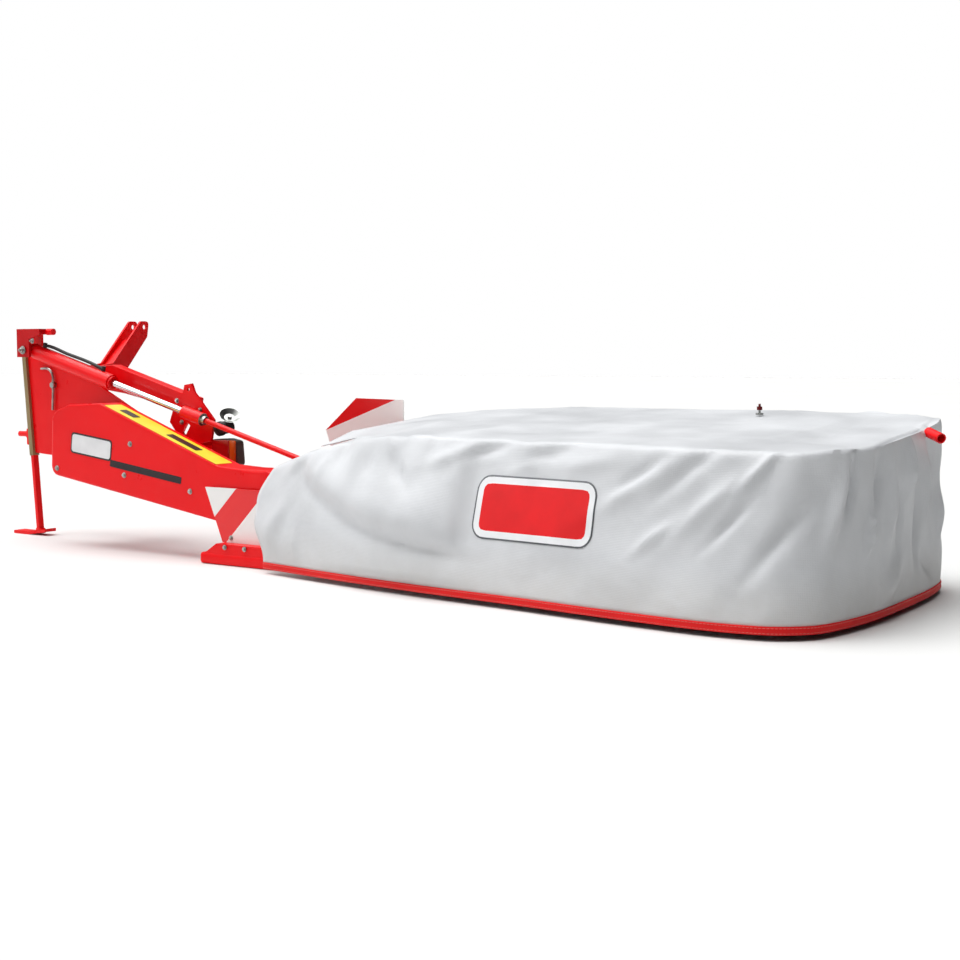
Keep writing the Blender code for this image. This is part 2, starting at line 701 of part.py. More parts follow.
def cutting_disc(index, x):
    """Oval domed disc with two flat blades. Neighbours stand a quarter turn apart."""
    base = BAR_TOP + HUB_HEIGHT + GAP
    heights = [(1.0, 0.0), (1.0, 0.006), (0.80, 0.012), (0.45, 0.022), (0.30, DISC_HEIGHT)]
    shape = bmesh.new()
    rings = []
    for share, height in heights:
        rings.append([
            shape.verts.new((
                DISC_LONG_RADIUS * share * math.cos(a), DISC_SHORT_RADIUS * share * math.sin(a), height,
            ))
            for a in (2 * math.pi * k / 24 for k in range(24))
        ])
    for low, high in zip(rings, rings[1:]):
        for k in range(24):
            shape.faces.new((low[k], low[(k + 1) % 24], high[(k + 1) % 24], high[k]))
    shape.faces.new(rings[0][::-1])
    shape.faces.new(rings[-1])
    mesh = bpy.data.meshes.new("disc")
    shape.to_mesh(mesh)
    shape.free()
    disc = add_mesh("disc_%d" % (index + 1), mesh, RED)
    half = BLADE_WIDTH / 2
    blades = [
        box("blade", (min(sign * 0.13, sign * BLADE_TIP_RADIUS), -half, 0.001),
            (max(sign * 0.13, sign * BLADE_TIP_RADIUS), half, 0.001 + BLADE_THICKNESS), STEEL)
        for sign in (-1, 1)
    ]
    disc = fuse(disc, *blades)
    turn = 90 if index % 2 == 0 else 0
    disc.data.transform(Matrix.Rotation(math.radians(turn), 4, "Z"))
    disc.location = (x, 0, base)
    return disc


def skid(index, x):
    """Sole plate under a disc, turned up at the front."""
    top = BAR_BOTTOM - GAP
    profile = [
        (BAR_REAR, 0.012), (BAR_REAR + 0.02, 0.0), (0.10, 0.0), (0.165, 0.022), (0.195, 0.062),
        (0.183, 0.066), (0.158, 0.030), (0.10, top), (BAR_REAR + 0.01, top),
    ]
    half = SKID_WIDTH / 2
    return slab("skid_%d" % (index + 1), profile, x - half, x + half, RED, plane="yz")


def bevel_gearbox():
    return box(
        "bevel_gearbox", (-0.07, FOLD_SHAFT_FRONT + 0.0063, BAR_TOP + GAP), (0.14, GEARBOX_FRONT, GEARBOX_TOP),
        RED, bevel=0.02,
    )


def hinge_bracket():
    """Hinge of the cutterbar: a sleeve on the fold shaft, a web down to the bar and the lift lug."""
    rear = HOUSING_FRONT + ARM_THICKNESS + GAP + SLIDE_GAP
    front = FOLD_SHAFT_FRONT + 0.006
    sleeve = across("hinge_bracket", FOLD_AXIS, rear, front, FOLD_SHAFT_RADIUS + 0.022, RED, 32)
    web = slab("web", [
        (-0.05, 0.31), (0.0, 0.375), (0.20, 0.375), (0.20, 0.33), (0.14, 0.22), (0.14, BAR_TOP + GAP),
        (-0.03, BAR_TOP + GAP), (-0.05, 0.2),
    ], -0.10, front, RED)
    bridge = box("bridge", (0.065, CYLINDER_Y - 0.032, 0.335), (0.125, -0.09, 0.374), RED)
    ears = []
    for rear_face in (CYLINDER_Y - 0.030, CYLINDER_Y + 0.018):
        ears.append(slab("ear", rounded([
            (0.07, 0.345), (0.095, 0.462), (0.165, 0.462), (0.195, 0.345),
        ], 0.02), rear_face, rear_face + 0.012, RED, holes=[(ROD_EYE, 0.0125)]))
    body = fuse(sleeve, web, bridge, *ears)
    bore = across("bore_cutter", FOLD_AXIS, -0.3, front + 0.02, FOLD_SHAFT_RADIUS + SLIDE_GAP, RED, 32)
    return cut(body, bore)


def inner_shoe():
    """Runner at the inner end: a sole with a raised rear block that carries the guard."""
    sole = slab("inner_shoe", rounded([
        (-0.31, -0.42), (0.13, -0.42), (0.13, BAR_REAR - GAP), (BAR_START - GAP, BAR_REAR - GAP),
        (BAR_START - GAP, 0.26), (-0.11, 0.32), (-0.25, 0.32), (-0.31, 0.22),
    ], 0.02), 0.0, 0.05, RED, plane="xy", bevel=0.012)
    block = slab("block", [
        (-0.285, 0.02), (-0.285, 0.045), (-0.21, SHOE_TOP), (0.125, SHOE_TOP), (0.125, 0.02),
    ], -0.415, BAR_REAR - 0.01, RED)
    return fuse(sole, block)


def guard_plate():
    """Striped guard that stands on the inner shoe, behind the belt housing."""
    return slab("guard_plate", [
        (-0.222, SHOE_TOP + GAP), (-0.322, 0.332), (0.06, 0.332), (0.06, SHOE_TOP + GAP),
    ], -0.363, -0.351, RED)


def outer_shoe():
    """Outer runner, across the end of the cutterbar."""
    start = BAR_END + GAP
    profile = rounded([
        (-0.22, 0.0), (0.17, 0.0), (0.26, 0.07), (0.24, 0.12), (-0.18, 0.15), (-0.24, 0.08),
    ], 0.03)
    return slab("outer_shoe", profile, start, start + 0.035, RED, plane="yz")


def swath_board():
    """Board behind the outer shoe, turned inwards."""
    outer = BAR_END - GAP
    inner = outer - 0.006
    outline = [
        (outer, -0.17), (inner, -0.17), (inner, -0.243), (inner - 0.142, -0.578), (outer - 0.142, -0.58),
        (outer, -0.245),
    ]
    return slab("swath_board", outline, 0.05, 0.36, RED, plane="xy")


def cover_frame():
    """Rail under the cover's top edge, with a cross tube and two posts."""
    drop = RAIL_RADIUS + COVER_THICKNESS + 0.0012
    rail = []
    for i, (x, y, z) in enumerate(TOP_OUTLINE[1:-1], start=1):
        before, after = Vector(TOP_OUTLINE[i - 1]), Vector(TOP_OUTLINE[i + 1])
        run = (after - before).to_2d().normalized()
        inward = Vector((-run.y, run.x)) * RAIL_INSET
        fall = max(0.0, 0.08 * -inward.y)
        rail.append((x + inward.x, y + inward.y, z - drop - fall))
    tube = pipe("cover_frame", rail, RAIL_RADIUS, RED, smooth=False, resolution=2)
    bend = [rail[0], (0.50, -0.27, 0.530), (0.27, 0.0, 0.535), (0.30, 0.45, 0.585), rail[-1]]
    cross = pipe("cross", bend, 0.0168, RED, False, 2)
    post = rod("post", (0.09, 0.05, GEARBOX_TOP + 0.015), (0.275, 0.05, 0.537), 0.016, RED, 12)
    root, mouth = Vector(END_TUBE_ROOT), Vector(END_TUBE_MOUTH)
    along = (mouth - root).normalized()
    stub = rod("stub", root - along * 0.055, root - along * GAP, 0.012, RED, 12)
    foot = box("foot", (0.05, 0.0, GEARBOX_TOP + GAP), (0.13, 0.10, GEARBOX_TOP + 0.022), RED)
    outer = pipe("outer", [(2.617, 0.0, 0.1405), (2.617, 0.0, 0.40), (rail[8][0], 0.0, 0.600)], 0.0163, RED, False, 2)
    lug = box("lug", (0.085, 0.5023, 0.555), (0.38, 0.512, 0.597), RED)
    return fuse(tube, cross, post, foot, outer, lug, stub)


def ring_at(share):
    """Cover outline between the hem, 0, and the top edge, 1, with a slight bulge."""
    points = []
    for (hx, hy), (tx, ty, tz) in zip(HEM_OUTLINE, TOP_OUTLINE):
        low = HEM_BOTTOM + HEM_HEIGHT + GAP + 0.2 * COVER_THICKNESS
        points.append((
            hx + (tx - hx) * share ** 1.4, hy + (ty - hy) * share ** 1.4, low + (tz - low) * share,
        ))
    return points


def top_ring(share):
    """Cover top between the edge, 0, and the spine, 1."""
    count = len(TOP_OUTLINE)
    points = []
    for i, (x, y, z) in enumerate(TOP_OUTLINE):
        other = TOP_OUTLINE[count - 1 - i]
        spine = Vector((min((x + other[0]) / 2, 2.35), SPINE_Y, (z + other[2]) / 2 + SPINE_RISE))
        if i in (0, count - 1):
            spine.z = 0.585
        points.append(tuple(Vector((x, y, z)).lerp(spine, share)))
    return points


def tarpaulin():
    """Fabric cover: skirt and top in one sheet, open at the inner end."""
    shape = bmesh.new()
    rings = [ring_at(s) for s in (0.0, 0.35, 0.7, 0.93, 1.0)] + [top_ring(s) for s in (0.08, 0.5, 1.0)]
    made = [[shape.verts.new(p) for p in ring] for ring in rings]
    for low, high in zip(made, made[1:]):
        for a, b, c, d in zip(low, low[1:], high[1:], high):
            shape.faces.new((a, b, c, d))
    bmesh.ops.remove_doubles(shape, verts=shape.verts, dist=1e-4)
    bmesh.ops.recalc_face_normals(shape, faces=shape.faces)
    top = max(shape.faces, key=lambda f: f.calc_center_median().z)
    if top.normal.z < 0:
        bmesh.ops.reverse_faces(shape, faces=shape.faces)
    mesh = bpy.data.meshes.new("tarpaulin")
    shape.to_mesh(mesh)
    shape.free()
    sheet = add_mesh("tarpaulin", mesh, FABRIC, 60)
    wall = sheet.modifiers.new("cloth", "SOLIDIFY")
    wall.thickness = COVER_THICKNESS
    wall.offset = -1
    half = ROD_SLOT_WIDTH / 2
    slot = box("slot_cutter", (0.0, CYLINDER_Y - half, 0.3), (ROD_SLOT_END, CYLINDER_Y + half, 0.8), FABRIC)
    root, mouth = Vector(END_TUBE_ROOT), Vector(END_TUBE_MOUTH)
    reach = (mouth - root) * 0.8
    hole = rod("hole_cutter", root - reach, mouth + reach, END_TUBE_RADIUS + 0.003, FABRIC)
    return cut(sheet, slot, hole)


def cover_hem():
    """Band sewn round the cover's lower edge."""
    shape = bmesh.new()
    low = [shape.verts.new((x, y, HEM_BOTTOM)) for x, y in HEM_OUTLINE]
    high = [shape.verts.new((x, y, HEM_BOTTOM + HEM_HEIGHT)) for x, y in HEM_OUTLINE]
    for a, b, c, d in zip(low, low[1:], high[1:], high):
        shape.faces.new((a, b, c, d))
    bmesh.ops.recalc_face_normals(shape, faces=shape.faces)
    mesh = bpy.data.meshes.new("cover_hem")
    shape.to_mesh(mesh)
    shape.free()
    band = add_mesh("cover_hem", mesh, RED, 60)
    wall = band.modifiers.new("band", "SOLIDIFY")
    wall.thickness = 0.006
    wall.offset = 0
    return band


def cover_end_tube():
    """Open tube that comes out through the cover's outer end."""
    root, mouth = Vector(END_TUBE_ROOT), Vector(END_TUBE_MOUTH)
    along = (mouth - root).normalized()
    tube = rod("cover_end_tube", root, mouth, END_TUBE_RADIUS, RED)
    return cut(tube, rod("bore_cutter", mouth - along * 0.08, mouth + along * 0.05, END_TUBE_RADIUS - 0.004, RED))


def cover_latch():
    """Small post with a knob, on top of the cover."""
    x, y = LATCH_PLACE
    edge = next(p for p in TOP_OUTLINE if p[0] == x and p[1] > 0)
    rear = next(p for p in TOP_OUTLINE if p[0] == x and p[1] < 0)
    spine_z = (edge[2] + rear[2]) / 2 + SPINE_RISE
    z = edge[2] + (spine_z - edge[2]) * (edge[1] - y) / (edge[1] - SPINE_Y) + GAP + 0.0008
    base = rod("cover_latch", (x, y, z), (x, y, z + 0.008), 0.016, STEEL, 16)
    post = rod("post", (x, y, z + 0.004), (x, y, z + 0.045), 0.005, STEEL, 12)
    knob = rod("knob", (x, y, z + 0.020), (x, y, z + 0.034), 0.011, STEEL, 12)
    return fuse(base, post, knob)


def sign_plate():
    """Striped warning plate at the front of the inner end."""
    return slab("sign_plate", [
        (-0.155, 0.708), (0.13, 0.703), (0.13, 0.43), (-0.30, 0.43), (-0.345, 0.55),
    ], 0.498, 0.502, RED)


def centre_on_base(root, objects):
    """Move the machine so that its origin is the middle of its base."""
    bpy.context.view_layer.update()
    graph = bpy.context.evaluated_depsgraph_get()
    corners = []
    for made in objects:
        shape = made.evaluated_get(graph)
        corners += [shape.matrix_world @ Vector(corner) for corner in shape.bound_box]
    low = Vector(min(c[i] for c in corners) for i in range(3))
    high = Vector(max(c[i] for c in corners) for i in range(3))
    root.location = (-(low.x + high.x) / 2, -(low.y + high.y) / 2, -low.z)
    bpy.context.view_layer.update()
    print("moved by", tuple(round(v, 5) for v in root.location), "size", tuple(round(v, 4) for v in high - low))


def build():
    root = empty("machine_root", (0, 0, 0))
    rides_on(
        root, headstock_plate(), headstock_boom(), lift_bracket(), top_link_mast(), bearing_tube(),
        hitch_bracket("left", -1, -1.70, 0.455, 0.54), hitch_bracket("right", 1, -1.062, 0.465, 0.555),
        stand_guide(), cylinder_anchor(), anchor_knob(), hanger_rod(), rear_lamp(), lamp_bracket(),
        fold_buffer(),
    )
    stand = empty("stand_slide", (GUIDE_BOTTOM[0], GUIDE_Y, GUIDE_BOTTOM[1]), root)
    rides_on(stand, parking_stand())
    shaft = empty("shaft_turn", (ARM_AXIS[0], 0, ARM_AXIS[1]), root)
    rides_on(shaft, input_shaft())
    barrel = empty("barrel_turn", (BARREL_PIN[0], CYLINDER_Y, BARREL_PIN[1]), root)
    rides_on(barrel, lift_barrel(), lift_hose(), lift_rod())
    arm = empty("arm_turn", (ARM_AXIS[0], HOUSING_FRONT, ARM_AXIS[1]), root)
    rides_on(arm, belt_housing(), arm_beam(), arm_hub(), fold_shaft())
    bar = empty("bar_fold", (FOLD_AXIS[0], 0, FOLD_AXIS[1]), arm)
    places = list(enumerate(disc_places()))
    rides_on(
        bar, cutterbar(), bevel_gearbox(), hinge_bracket(), inner_shoe(), guard_plate(), outer_shoe(),
        swath_board(), cover_frame(), tarpaulin(), cover_hem(), cover_end_tube(), cover_latch(), sign_plate(),
        *[skid(i, x) for i, x in places], *[cutting_disc(i, x) for i, x in places],
    )
    centre_on_base(root, [made for made in machine.objects if made.type == "MESH"])


clear_scene()
machine = new_collection("disc_mower")
cutters = new_collection("cutters")
build()
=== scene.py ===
import json
from math import cos, exp, hypot, pi, radians, sin

import bmesh
import bpy
from mathutils import Matrix, Vector, noise
from mathutils.bvhtree import BVHTree

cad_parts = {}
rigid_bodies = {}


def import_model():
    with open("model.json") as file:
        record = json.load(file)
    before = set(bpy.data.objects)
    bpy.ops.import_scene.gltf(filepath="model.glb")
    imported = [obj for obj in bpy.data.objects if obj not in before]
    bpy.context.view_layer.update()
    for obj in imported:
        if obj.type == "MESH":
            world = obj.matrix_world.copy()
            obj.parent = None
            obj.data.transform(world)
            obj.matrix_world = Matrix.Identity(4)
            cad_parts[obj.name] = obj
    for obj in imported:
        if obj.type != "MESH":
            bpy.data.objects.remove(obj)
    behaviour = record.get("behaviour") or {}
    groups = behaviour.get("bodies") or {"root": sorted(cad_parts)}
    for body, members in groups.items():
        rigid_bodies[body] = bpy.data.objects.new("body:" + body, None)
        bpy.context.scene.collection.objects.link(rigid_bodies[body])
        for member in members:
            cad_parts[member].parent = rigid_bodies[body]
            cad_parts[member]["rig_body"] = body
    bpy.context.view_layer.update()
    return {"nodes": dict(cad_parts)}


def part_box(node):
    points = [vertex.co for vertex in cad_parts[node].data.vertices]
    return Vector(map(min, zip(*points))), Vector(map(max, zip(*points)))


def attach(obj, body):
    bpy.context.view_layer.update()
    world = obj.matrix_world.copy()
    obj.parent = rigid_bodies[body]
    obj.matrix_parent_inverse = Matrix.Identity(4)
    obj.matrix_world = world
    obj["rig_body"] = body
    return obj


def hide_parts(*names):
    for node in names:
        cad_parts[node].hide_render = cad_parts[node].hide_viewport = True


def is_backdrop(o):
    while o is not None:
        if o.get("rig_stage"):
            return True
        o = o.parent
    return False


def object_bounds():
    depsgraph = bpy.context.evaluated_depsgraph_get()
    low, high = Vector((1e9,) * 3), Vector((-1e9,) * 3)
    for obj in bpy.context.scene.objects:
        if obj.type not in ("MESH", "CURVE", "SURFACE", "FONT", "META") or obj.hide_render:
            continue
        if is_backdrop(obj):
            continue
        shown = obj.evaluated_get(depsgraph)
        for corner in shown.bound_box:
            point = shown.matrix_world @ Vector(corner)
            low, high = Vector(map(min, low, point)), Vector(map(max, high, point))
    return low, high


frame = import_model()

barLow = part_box("cutterbar")[0]
origin = Vector((barLow.x + 0.05, barLow.y + 0.12, 0))  # foot of the fold axis, where places start


def place(x, y, z):
    return origin + Vector((x, y, z))


def colour(hexCode):
    parts = [int(hexCode[i:i + 2], 16) / 255 for i in (1, 3, 5)]
    return [p / 12.92 if p <= 0.04045 else ((p + 0.055) / 1.055) ** 2.4 for p in parts] + [1]


def addNode(tree, kind, inputs=None, **settings):
    node = tree.nodes.new("ShaderNode" + kind)
    for name, value in settings.items():
        setattr(node, name, value)
    for name, value in (inputs or {}).items():
        if isinstance(value, bpy.types.NodeSocket):
            tree.links.new(value, node.inputs[name])
        else:
            node.inputs[name].default_value = value
    return node


def newMaterial(name, base, roughness, **sockets):
    material = bpy.data.materials.new(name)
    material.use_nodes = True
    tree = material.node_tree
    shader = tree.nodes["Principled BSDF"]
    shader.inputs["Base Color"].default_value = colour(base)
    shader.inputs["Roughness"].default_value = roughness
    for socket, value in sockets.items():
        shader.inputs[socket.replace("_", " ")].default_value = value
    return material, tree, shader


def drift(tree, where, low, high, size, detail=3):
    # colour that wanders between two tones over patches of that size in metres
    cloud = addNode(tree, "TexNoise", {"Vector": where, "Scale": 1 / size, "Detail": detail})
    spread = addNode(tree, "MapRange", {"Value": cloud.outputs[0], 1: 0.3, 2: 0.7})
    mix = addNode(tree, "Mix", {0: spread.outputs[0], 6: colour(low), 7: colour(high)}, data_type="RGBA")
    return mix.outputs[2], cloud.outputs[0]


def roughen(tree, shader, cloud, low, high):
    span = addNode(tree, "MapRange", {"Value": cloud, 1: 0.3, 2: 0.7, 3: low, 4: high})
    tree.links.new(span.outputs[0], shader.inputs["Roughness"])


def grainBump(tree, shader, where, size, depth, strength=1.0, detail=2):
    grain = addNode(tree, "TexNoise", {"Vector": where, "Scale": 1 / size, "Detail": detail})
    bump = addNode(tree, "Bump", {"Height": grain.outputs[0], "Distance": depth, "Strength": strength})
    tree.links.new(bump.outputs[0], shader.inputs["Normal"])
    return grain.outputs[0]


def objectCoords(tree):
    return addNode(tree, "TexCoord").outputs["Object"]


enamelTones = {
    "body": ("#E8000A", "#F4020D"),
    "cast": ("#B40009", "#C8020C"),
    "dark": ("#5E0D11", "#741317"),
}


def sprayedEnamel(name, tones, gloss=0.26):
    # alkyd enamel sprayed on steel and baked: even red, long soft highlights, faint orange peel
    material, tree, shader = newMaterial(
        name, tones[1], gloss, IOR=1.5, Specular_IOR_Level=0.2, Coat_Weight=0.06, Coat_Roughness=0.08)
    where = objectCoords(tree)
    tone = drift(tree, where, tones[0], tones[1], 0.45)[0]
    dust = addNode(tree, "TexNoise", {"Vector": where, "Scale": 9.0, "Detail": 6, "Roughness": 0.7})
    film = addNode(tree, "MapRange", {"Value": dust.outputs[0], 1: 0.5, 2: 0.8, 3: 0.0, 4: 0.03})
    dusty = addNode(tree, "Mix", {0: film.outputs[0], 6: tone, 7: colour("#C98F84")}, data_type="RGBA")
    tree.links.new(dusty.outputs[2], shader.inputs["Base Color"])
    roughen(tree, shader, dust.outputs[0], gloss, gloss + 0.16)
    grainBump(tree, shader, where, 0.012, 0.0004, 0.35)  # peel is 3 mm across, drawn at 12 mm to show
    return material


def platedSteel(name, low, high, roughness, size=0.03):
    # steel bar or plate, zinc plated: cool grey with cloudy, slightly uneven shine
    material, tree, shader = newMaterial(name, high, roughness, Metallic=1.0)
    where = objectCoords(tree)
    tone, cloud = drift(tree, where, low, high, size)
    tree.links.new(tone, shader.inputs["Base Color"])
    roughen(tree, shader, cloud, roughness - 0.06, roughness + 0.12)
    grainBump(tree, shader, where, 0.006, 0.0002, 0.4)
    return material


def mouldedRubber(name, low, high, roughness):
    # nitrile rubber, moulded: near black, dull, with a fine sandy skin
    material, tree, shader = newMaterial(name, high, roughness, IOR=1.52)
    where = objectCoords(tree)
    tone, cloud = drift(tree, where, low, high, 0.05)
    tree.links.new(tone, shader.inputs["Base Color"])
    roughen(tree, shader, cloud, roughness - 0.08, roughness + 0.08)
    grainBump(tree, shader, where, 0.004, 0.0003, 0.5)
    return material


def printedFilm(name, low, high, roughness=0.32):
    # calendered vinyl film with a printed colour: smooth, satin, faintly mottled
    material, tree, shader = newMaterial(name, high, roughness, IOR=1.5, Specular_IOR_Level=0.3)
    where = objectCoords(tree)
    tone, cloud = drift(tree, where, low, high, 0.12)
    tree.links.new(tone, shader.inputs["Base Color"])
    roughen(tree, shader, cloud, roughness - 0.04, roughness + 0.1)
    grainBump(tree, shader, where, 0.02, 0.0003, 0.25)
    return material


def stripedFilm(name, slope, level, bands, low, high):
    # reflective vinyl on a steel sign: slanting red and white bands, with a fine bead texture
    material, tree, shader = newMaterial(name, low, 0.34, IOR=1.5, Coat_Weight=0.25, Coat_Roughness=0.15)
    where = objectCoords(tree)
    split = addNode(tree, "SeparateXYZ", {0: where})
    lean = {0: split.outputs["X"], 1: -slope, 2: split.outputs["Z"]}
    rise = addNode(tree, "Math", lean, operation="MULTIPLY_ADD")
    for edge, step in bands:
        limit = {0: rise.outputs[0], 1: edge - slope * origin.x}
        passed = addNode(tree, "Math", limit, operation="GREATER_THAN")
        stepped = {0: passed.outputs[0], 1: step, 2: level}
        level = addNode(tree, "Math", stepped, operation="MULTIPLY_ADD").outputs[0]
    mix = addNode(tree, "Mix", {0: level, 6: colour(low), 7: colour(high)}, data_type="RGBA")
    tree.links.new(mix.outputs[2], shader.inputs["Base Color"])
    cloud = grainBump(tree, shader, where, 0.008, 0.0003, 0.3)
    roughen(tree, shader, cloud, 0.28, 0.42)
    return material


def mouldedLens(name, low, high, rib):
    # polycarbonate lens, moulded with upright ribs inside: deep clear colour under a sharp gloss
    material, tree, shader = newMaterial(name, high, 0.12, IOR=1.58, Coat_Weight=0.6, Coat_Roughness=0.05)
    where = objectCoords(tree)
    ribs = addNode(tree, "TexWave", {"Vector": where, "Scale": 1 / rib / 3.2, "Distortion": 0.0})
    mix = addNode(tree, "Mix", {0: ribs.outputs[1], 6: colour(low), 7: colour(high)}, data_type="RGBA")
    tree.links.new(mix.outputs[2], shader.inputs["Base Color"])
    bump = addNode(tree, "Bump", {"Height": ribs.outputs[1], "Distance": 0.0006, "Strength": 0.5})
    tree.links.new(bump.outputs[0], shader.inputs["Normal"])
    return material


fabricTone = {
    "low": "#BEC0C3",
    "high": "#D3D5D8",
    "soil": "#B9B2A4",
    "thread": 0.006,  # threads are 1.2 mm apart, drawn at 6 mm so the weave shows
}


def coatedFabric(name, tone):
    # woven polyester with a grey PVC coat, knife coated: satin, with the weave standing faintly through
    material, tree, shader = newMaterial(name, tone["high"], 0.5, IOR=1.53, Sheen_Weight=0.08)
    where = objectCoords(tree)
    surface = addNode(tree, "UVMap", uv_map="cloth").outputs[0]
    shade, cloud = drift(tree, where, tone["low"], tone["high"], 0.35, 5)
    split = addNode(tree, "SeparateXYZ", {0: where})
    hem = addNode(tree, "MapRange", {"Value": split.outputs["Z"], 1: 0.05, 2: 0.22, 3: 0.5, 4: 0.0})
    spots = addNode(tree, "TexNoise", {"Vector": where, "Scale": 14.0, "Detail": 6, "Roughness": 0.75})
    soil = addNode(tree, "Math", {0: hem.outputs[0], 1: spots.outputs[0]}, operation="MULTIPLY")
    dirty = addNode(tree, "Mix", {0: soil.outputs[0], 6: shade, 7: colour(tone["soil"])}, data_type="RGBA")
    tree.links.new(dirty.outputs[2], shader.inputs["Base Color"])
    threads = {"Vector": surface, "Scale": pi / tone["thread"] / 10, "Distortion": 0.3}
    warp = addNode(tree, "TexWave", threads, bands_direction="X")
    weft = addNode(tree, "TexWave", threads, bands_direction="Y")
    weave = addNode(tree, "Math", {0: warp.outputs[1], 1: weft.outputs[1]}, operation="MULTIPLY")
    slack = addNode(tree, "TexNoise", {"Vector": where, "Scale": 34.0, "Detail": 3})
    both = addNode(tree, "Math", {0: slack.outputs[0], 1: 3.0, 2: weave.outputs[0]}, operation="MULTIPLY_ADD")
    bump = addNode(tree, "Bump", {"Height": both.outputs[0], "Distance": 0.0005, "Strength": 0.6})
    tree.links.new(bump.outputs[0], shader.inputs["Normal"])
    roughen(tree, shader, cloud, 0.44, 0.58)
    return material


def wovenWebbing(name, low, high):
    # polyester webbing, woven in a twill and sewn on: red with fine slanting ribs
    material, tree, shader = newMaterial(name, high, 0.6, IOR=1.5, Specular_IOR_Level=0.3)
    where = objectCoords(tree)
    tone = drift(tree, where, low, high, 0.2)[0]
    surface = addNode(tree, "UVMap", uv_map="cloth").outputs[0]
    scale = pi / 0.004 / 10  # ribs are 1 mm apart, drawn at 4 mm so they show
    ribs = addNode(tree, "TexWave", {"Vector": surface, "Scale": scale}, bands_direction="DIAGONAL")
    shade = addNode(tree, "Mix", {0: ribs.outputs[1], 6: colour(low), 7: tone}, data_type="RGBA")
    tree.links.new(shade.outputs[2], shader.inputs["Base Color"])
    bump = addNode(tree, "Bump", {"Height": ribs.outputs[1], "Distance": 0.0006, "Strength": 0.6})
    tree.links.new(bump.outputs[0], shader.inputs["Normal"])
    return material


redEnamel = sprayedEnamel("sprayedRedEnamel", enamelTones["body"])
castEnamel = sprayedEnamel("brushedRedEnamelOnCastIron", enamelTones["cast"], 0.36)
maroonEnamel = sprayedEnamel("maroonEnamel", enamelTones["dark"], 0.4)
oliveEnamel = sprayedEnamel("agedOlivePowderCoat", ("#85734F", "#9B8763"), 0.5)
zincSteel = platedSteel("zincPlatedSteel", "#8F918E", "#C2C4C0", 0.34)
bladeSteel = platedSteel("hardenedBladeSteel", "#6C6A67", "#99968F", 0.4, 0.015)
hardChrome = platedSteel("polishedHardChrome", "#C9CBCD", "#E3E4E5", 0.12, 0.2)
blackRubber = mouldedRubber("mouldedNitrileRubber", "#0E0F10", "#1E1F20", 0.62)
lampPlastic = mouldedRubber("mouldedPolyamideCase", "#3A302B", "#4F433D", 0.45)
redLens = mouldedLens("mouldedRedLens", "#8E0A0C", "#D81B1B", 0.006)
amberLens = mouldedLens("mouldedAmberLens", "#B8480E", "#E8731F", 0.005)
yellowFilm = printedFilm("yellowVinylFilm", "#F0D828", "#F8E84C")
darkFilm = printedFilm("darkVinylFilm", "#221D20", "#2E282B")
paleFilm = printedFilm("paleVinylFilm", "#DADBDD", "#ECEDEE")
redFilm = printedFilm("redWeldedPatch", "#D20A10", "#E21218", 0.5)
greyFilm = printedFilm("greyWeldedBorder", "#55585C", "#6A6D71", 0.45)
whitePatch = printedFilm("whiteWeldedBorder", "#DCDEE0", "#EDEEF0", 0.45)
guardFilm = stripedFilm("stripedGuardFilm", 1.0, 1.0, ((0.293, -1.0), (0.47, 1.0)), "#E8040C", "#F0F0EE")
signFilm = stripedFilm("stripedSignFilm", 0.364, 1.0, ((0.674, -1.0),), "#E8040C", "#FAFAF8")
coverFabric = coatedFabric("pvcCoatedPolyester", fabricTone)
hemWebbing = wovenWebbing("redPolyesterWebbing", "#D8080C", "#F21A16")
seamThread = printedFilm("polyesterThread", "#D9605A", "#E8827A", 0.6)
print("materials made:", len(bpy.data.materials))


def finishPiece(name, shape, materials, body, angle=30, replaced=()):
    for face in shape.faces:
        face.smooth = True
    for edge in shape.edges:
        edge.smooth = edge.calc_face_angle(0) < radians(angle)
    mesh = bpy.data.meshes.new(name)
    shape.to_mesh(mesh)
    shape.free()
    for material in materials:
        mesh.materials.append(material)
    piece = bpy.data.objects.new(name, mesh)
    bpy.context.scene.collection.objects.link(piece)
    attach(piece, body)
    if replaced:
        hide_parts(*replaced)
    return piece


def carryOver(node, materials, angle=25, zone=None):
    # the CAD shape with its doubles merged, so that turned faces shade round and flat ones stay flat
    shape = bmesh.new()
    shape.from_mesh(frame["nodes"][node].data)
    bmesh.ops.remove_doubles(shape, verts=shape.verts, dist=0.00001)
    for layer in list(shape.loops.layers.uv):
        shape.loops.layers.uv.remove(layer)
    for face in shape.faces:
        face.material_index = zone(face) if zone else 0
    name = "".join(part.capitalize() for part in node.split("_"))
    name = name[0].lower() + name[1:] + "Finished"
    piece = finishPiece(name, shape, materials, frame["nodes"][node]["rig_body"], angle, (node,))
    normals = piece.data.attributes.get("custom_normal")
    if normals:
        piece.data.attributes.remove(normals)
    evened = piece.modifiers.new("evenNormals", "WEIGHTED_NORMAL")
    evened.keep_sharp = True
    evened.weight = 100
    return piece


def turned(direction):
    return direction.to_track_quat("Z", "Y").to_matrix().to_4x4()


def addDrum(shape, foot, direction, low, high, height, sides=24):
    # a round or polygonal drum that stands on foot and tapers from low to high
    direction = direction.normalized()
    spot = Matrix.Translation(foot + direction * height / 2) @ turned(direction)
    made = bmesh.ops.create_cone(
        shape, cap_ends=True, segments=sides, radius1=low, radius2=high, depth=height, matrix=spot)
    return made["verts"]


boltShares = {  # of the width across the flats; radii are at the foot and at the top
    "washer": (0.95, 0.92),
    "washerTall": 0.12,
    "corners": (0.577, 0.577),
    "headTall": 0.5,
    "chamfer": (0.54, 0.44),
    "chamferTall": 0.08,
    "thread": (0.3, 0.27),
}


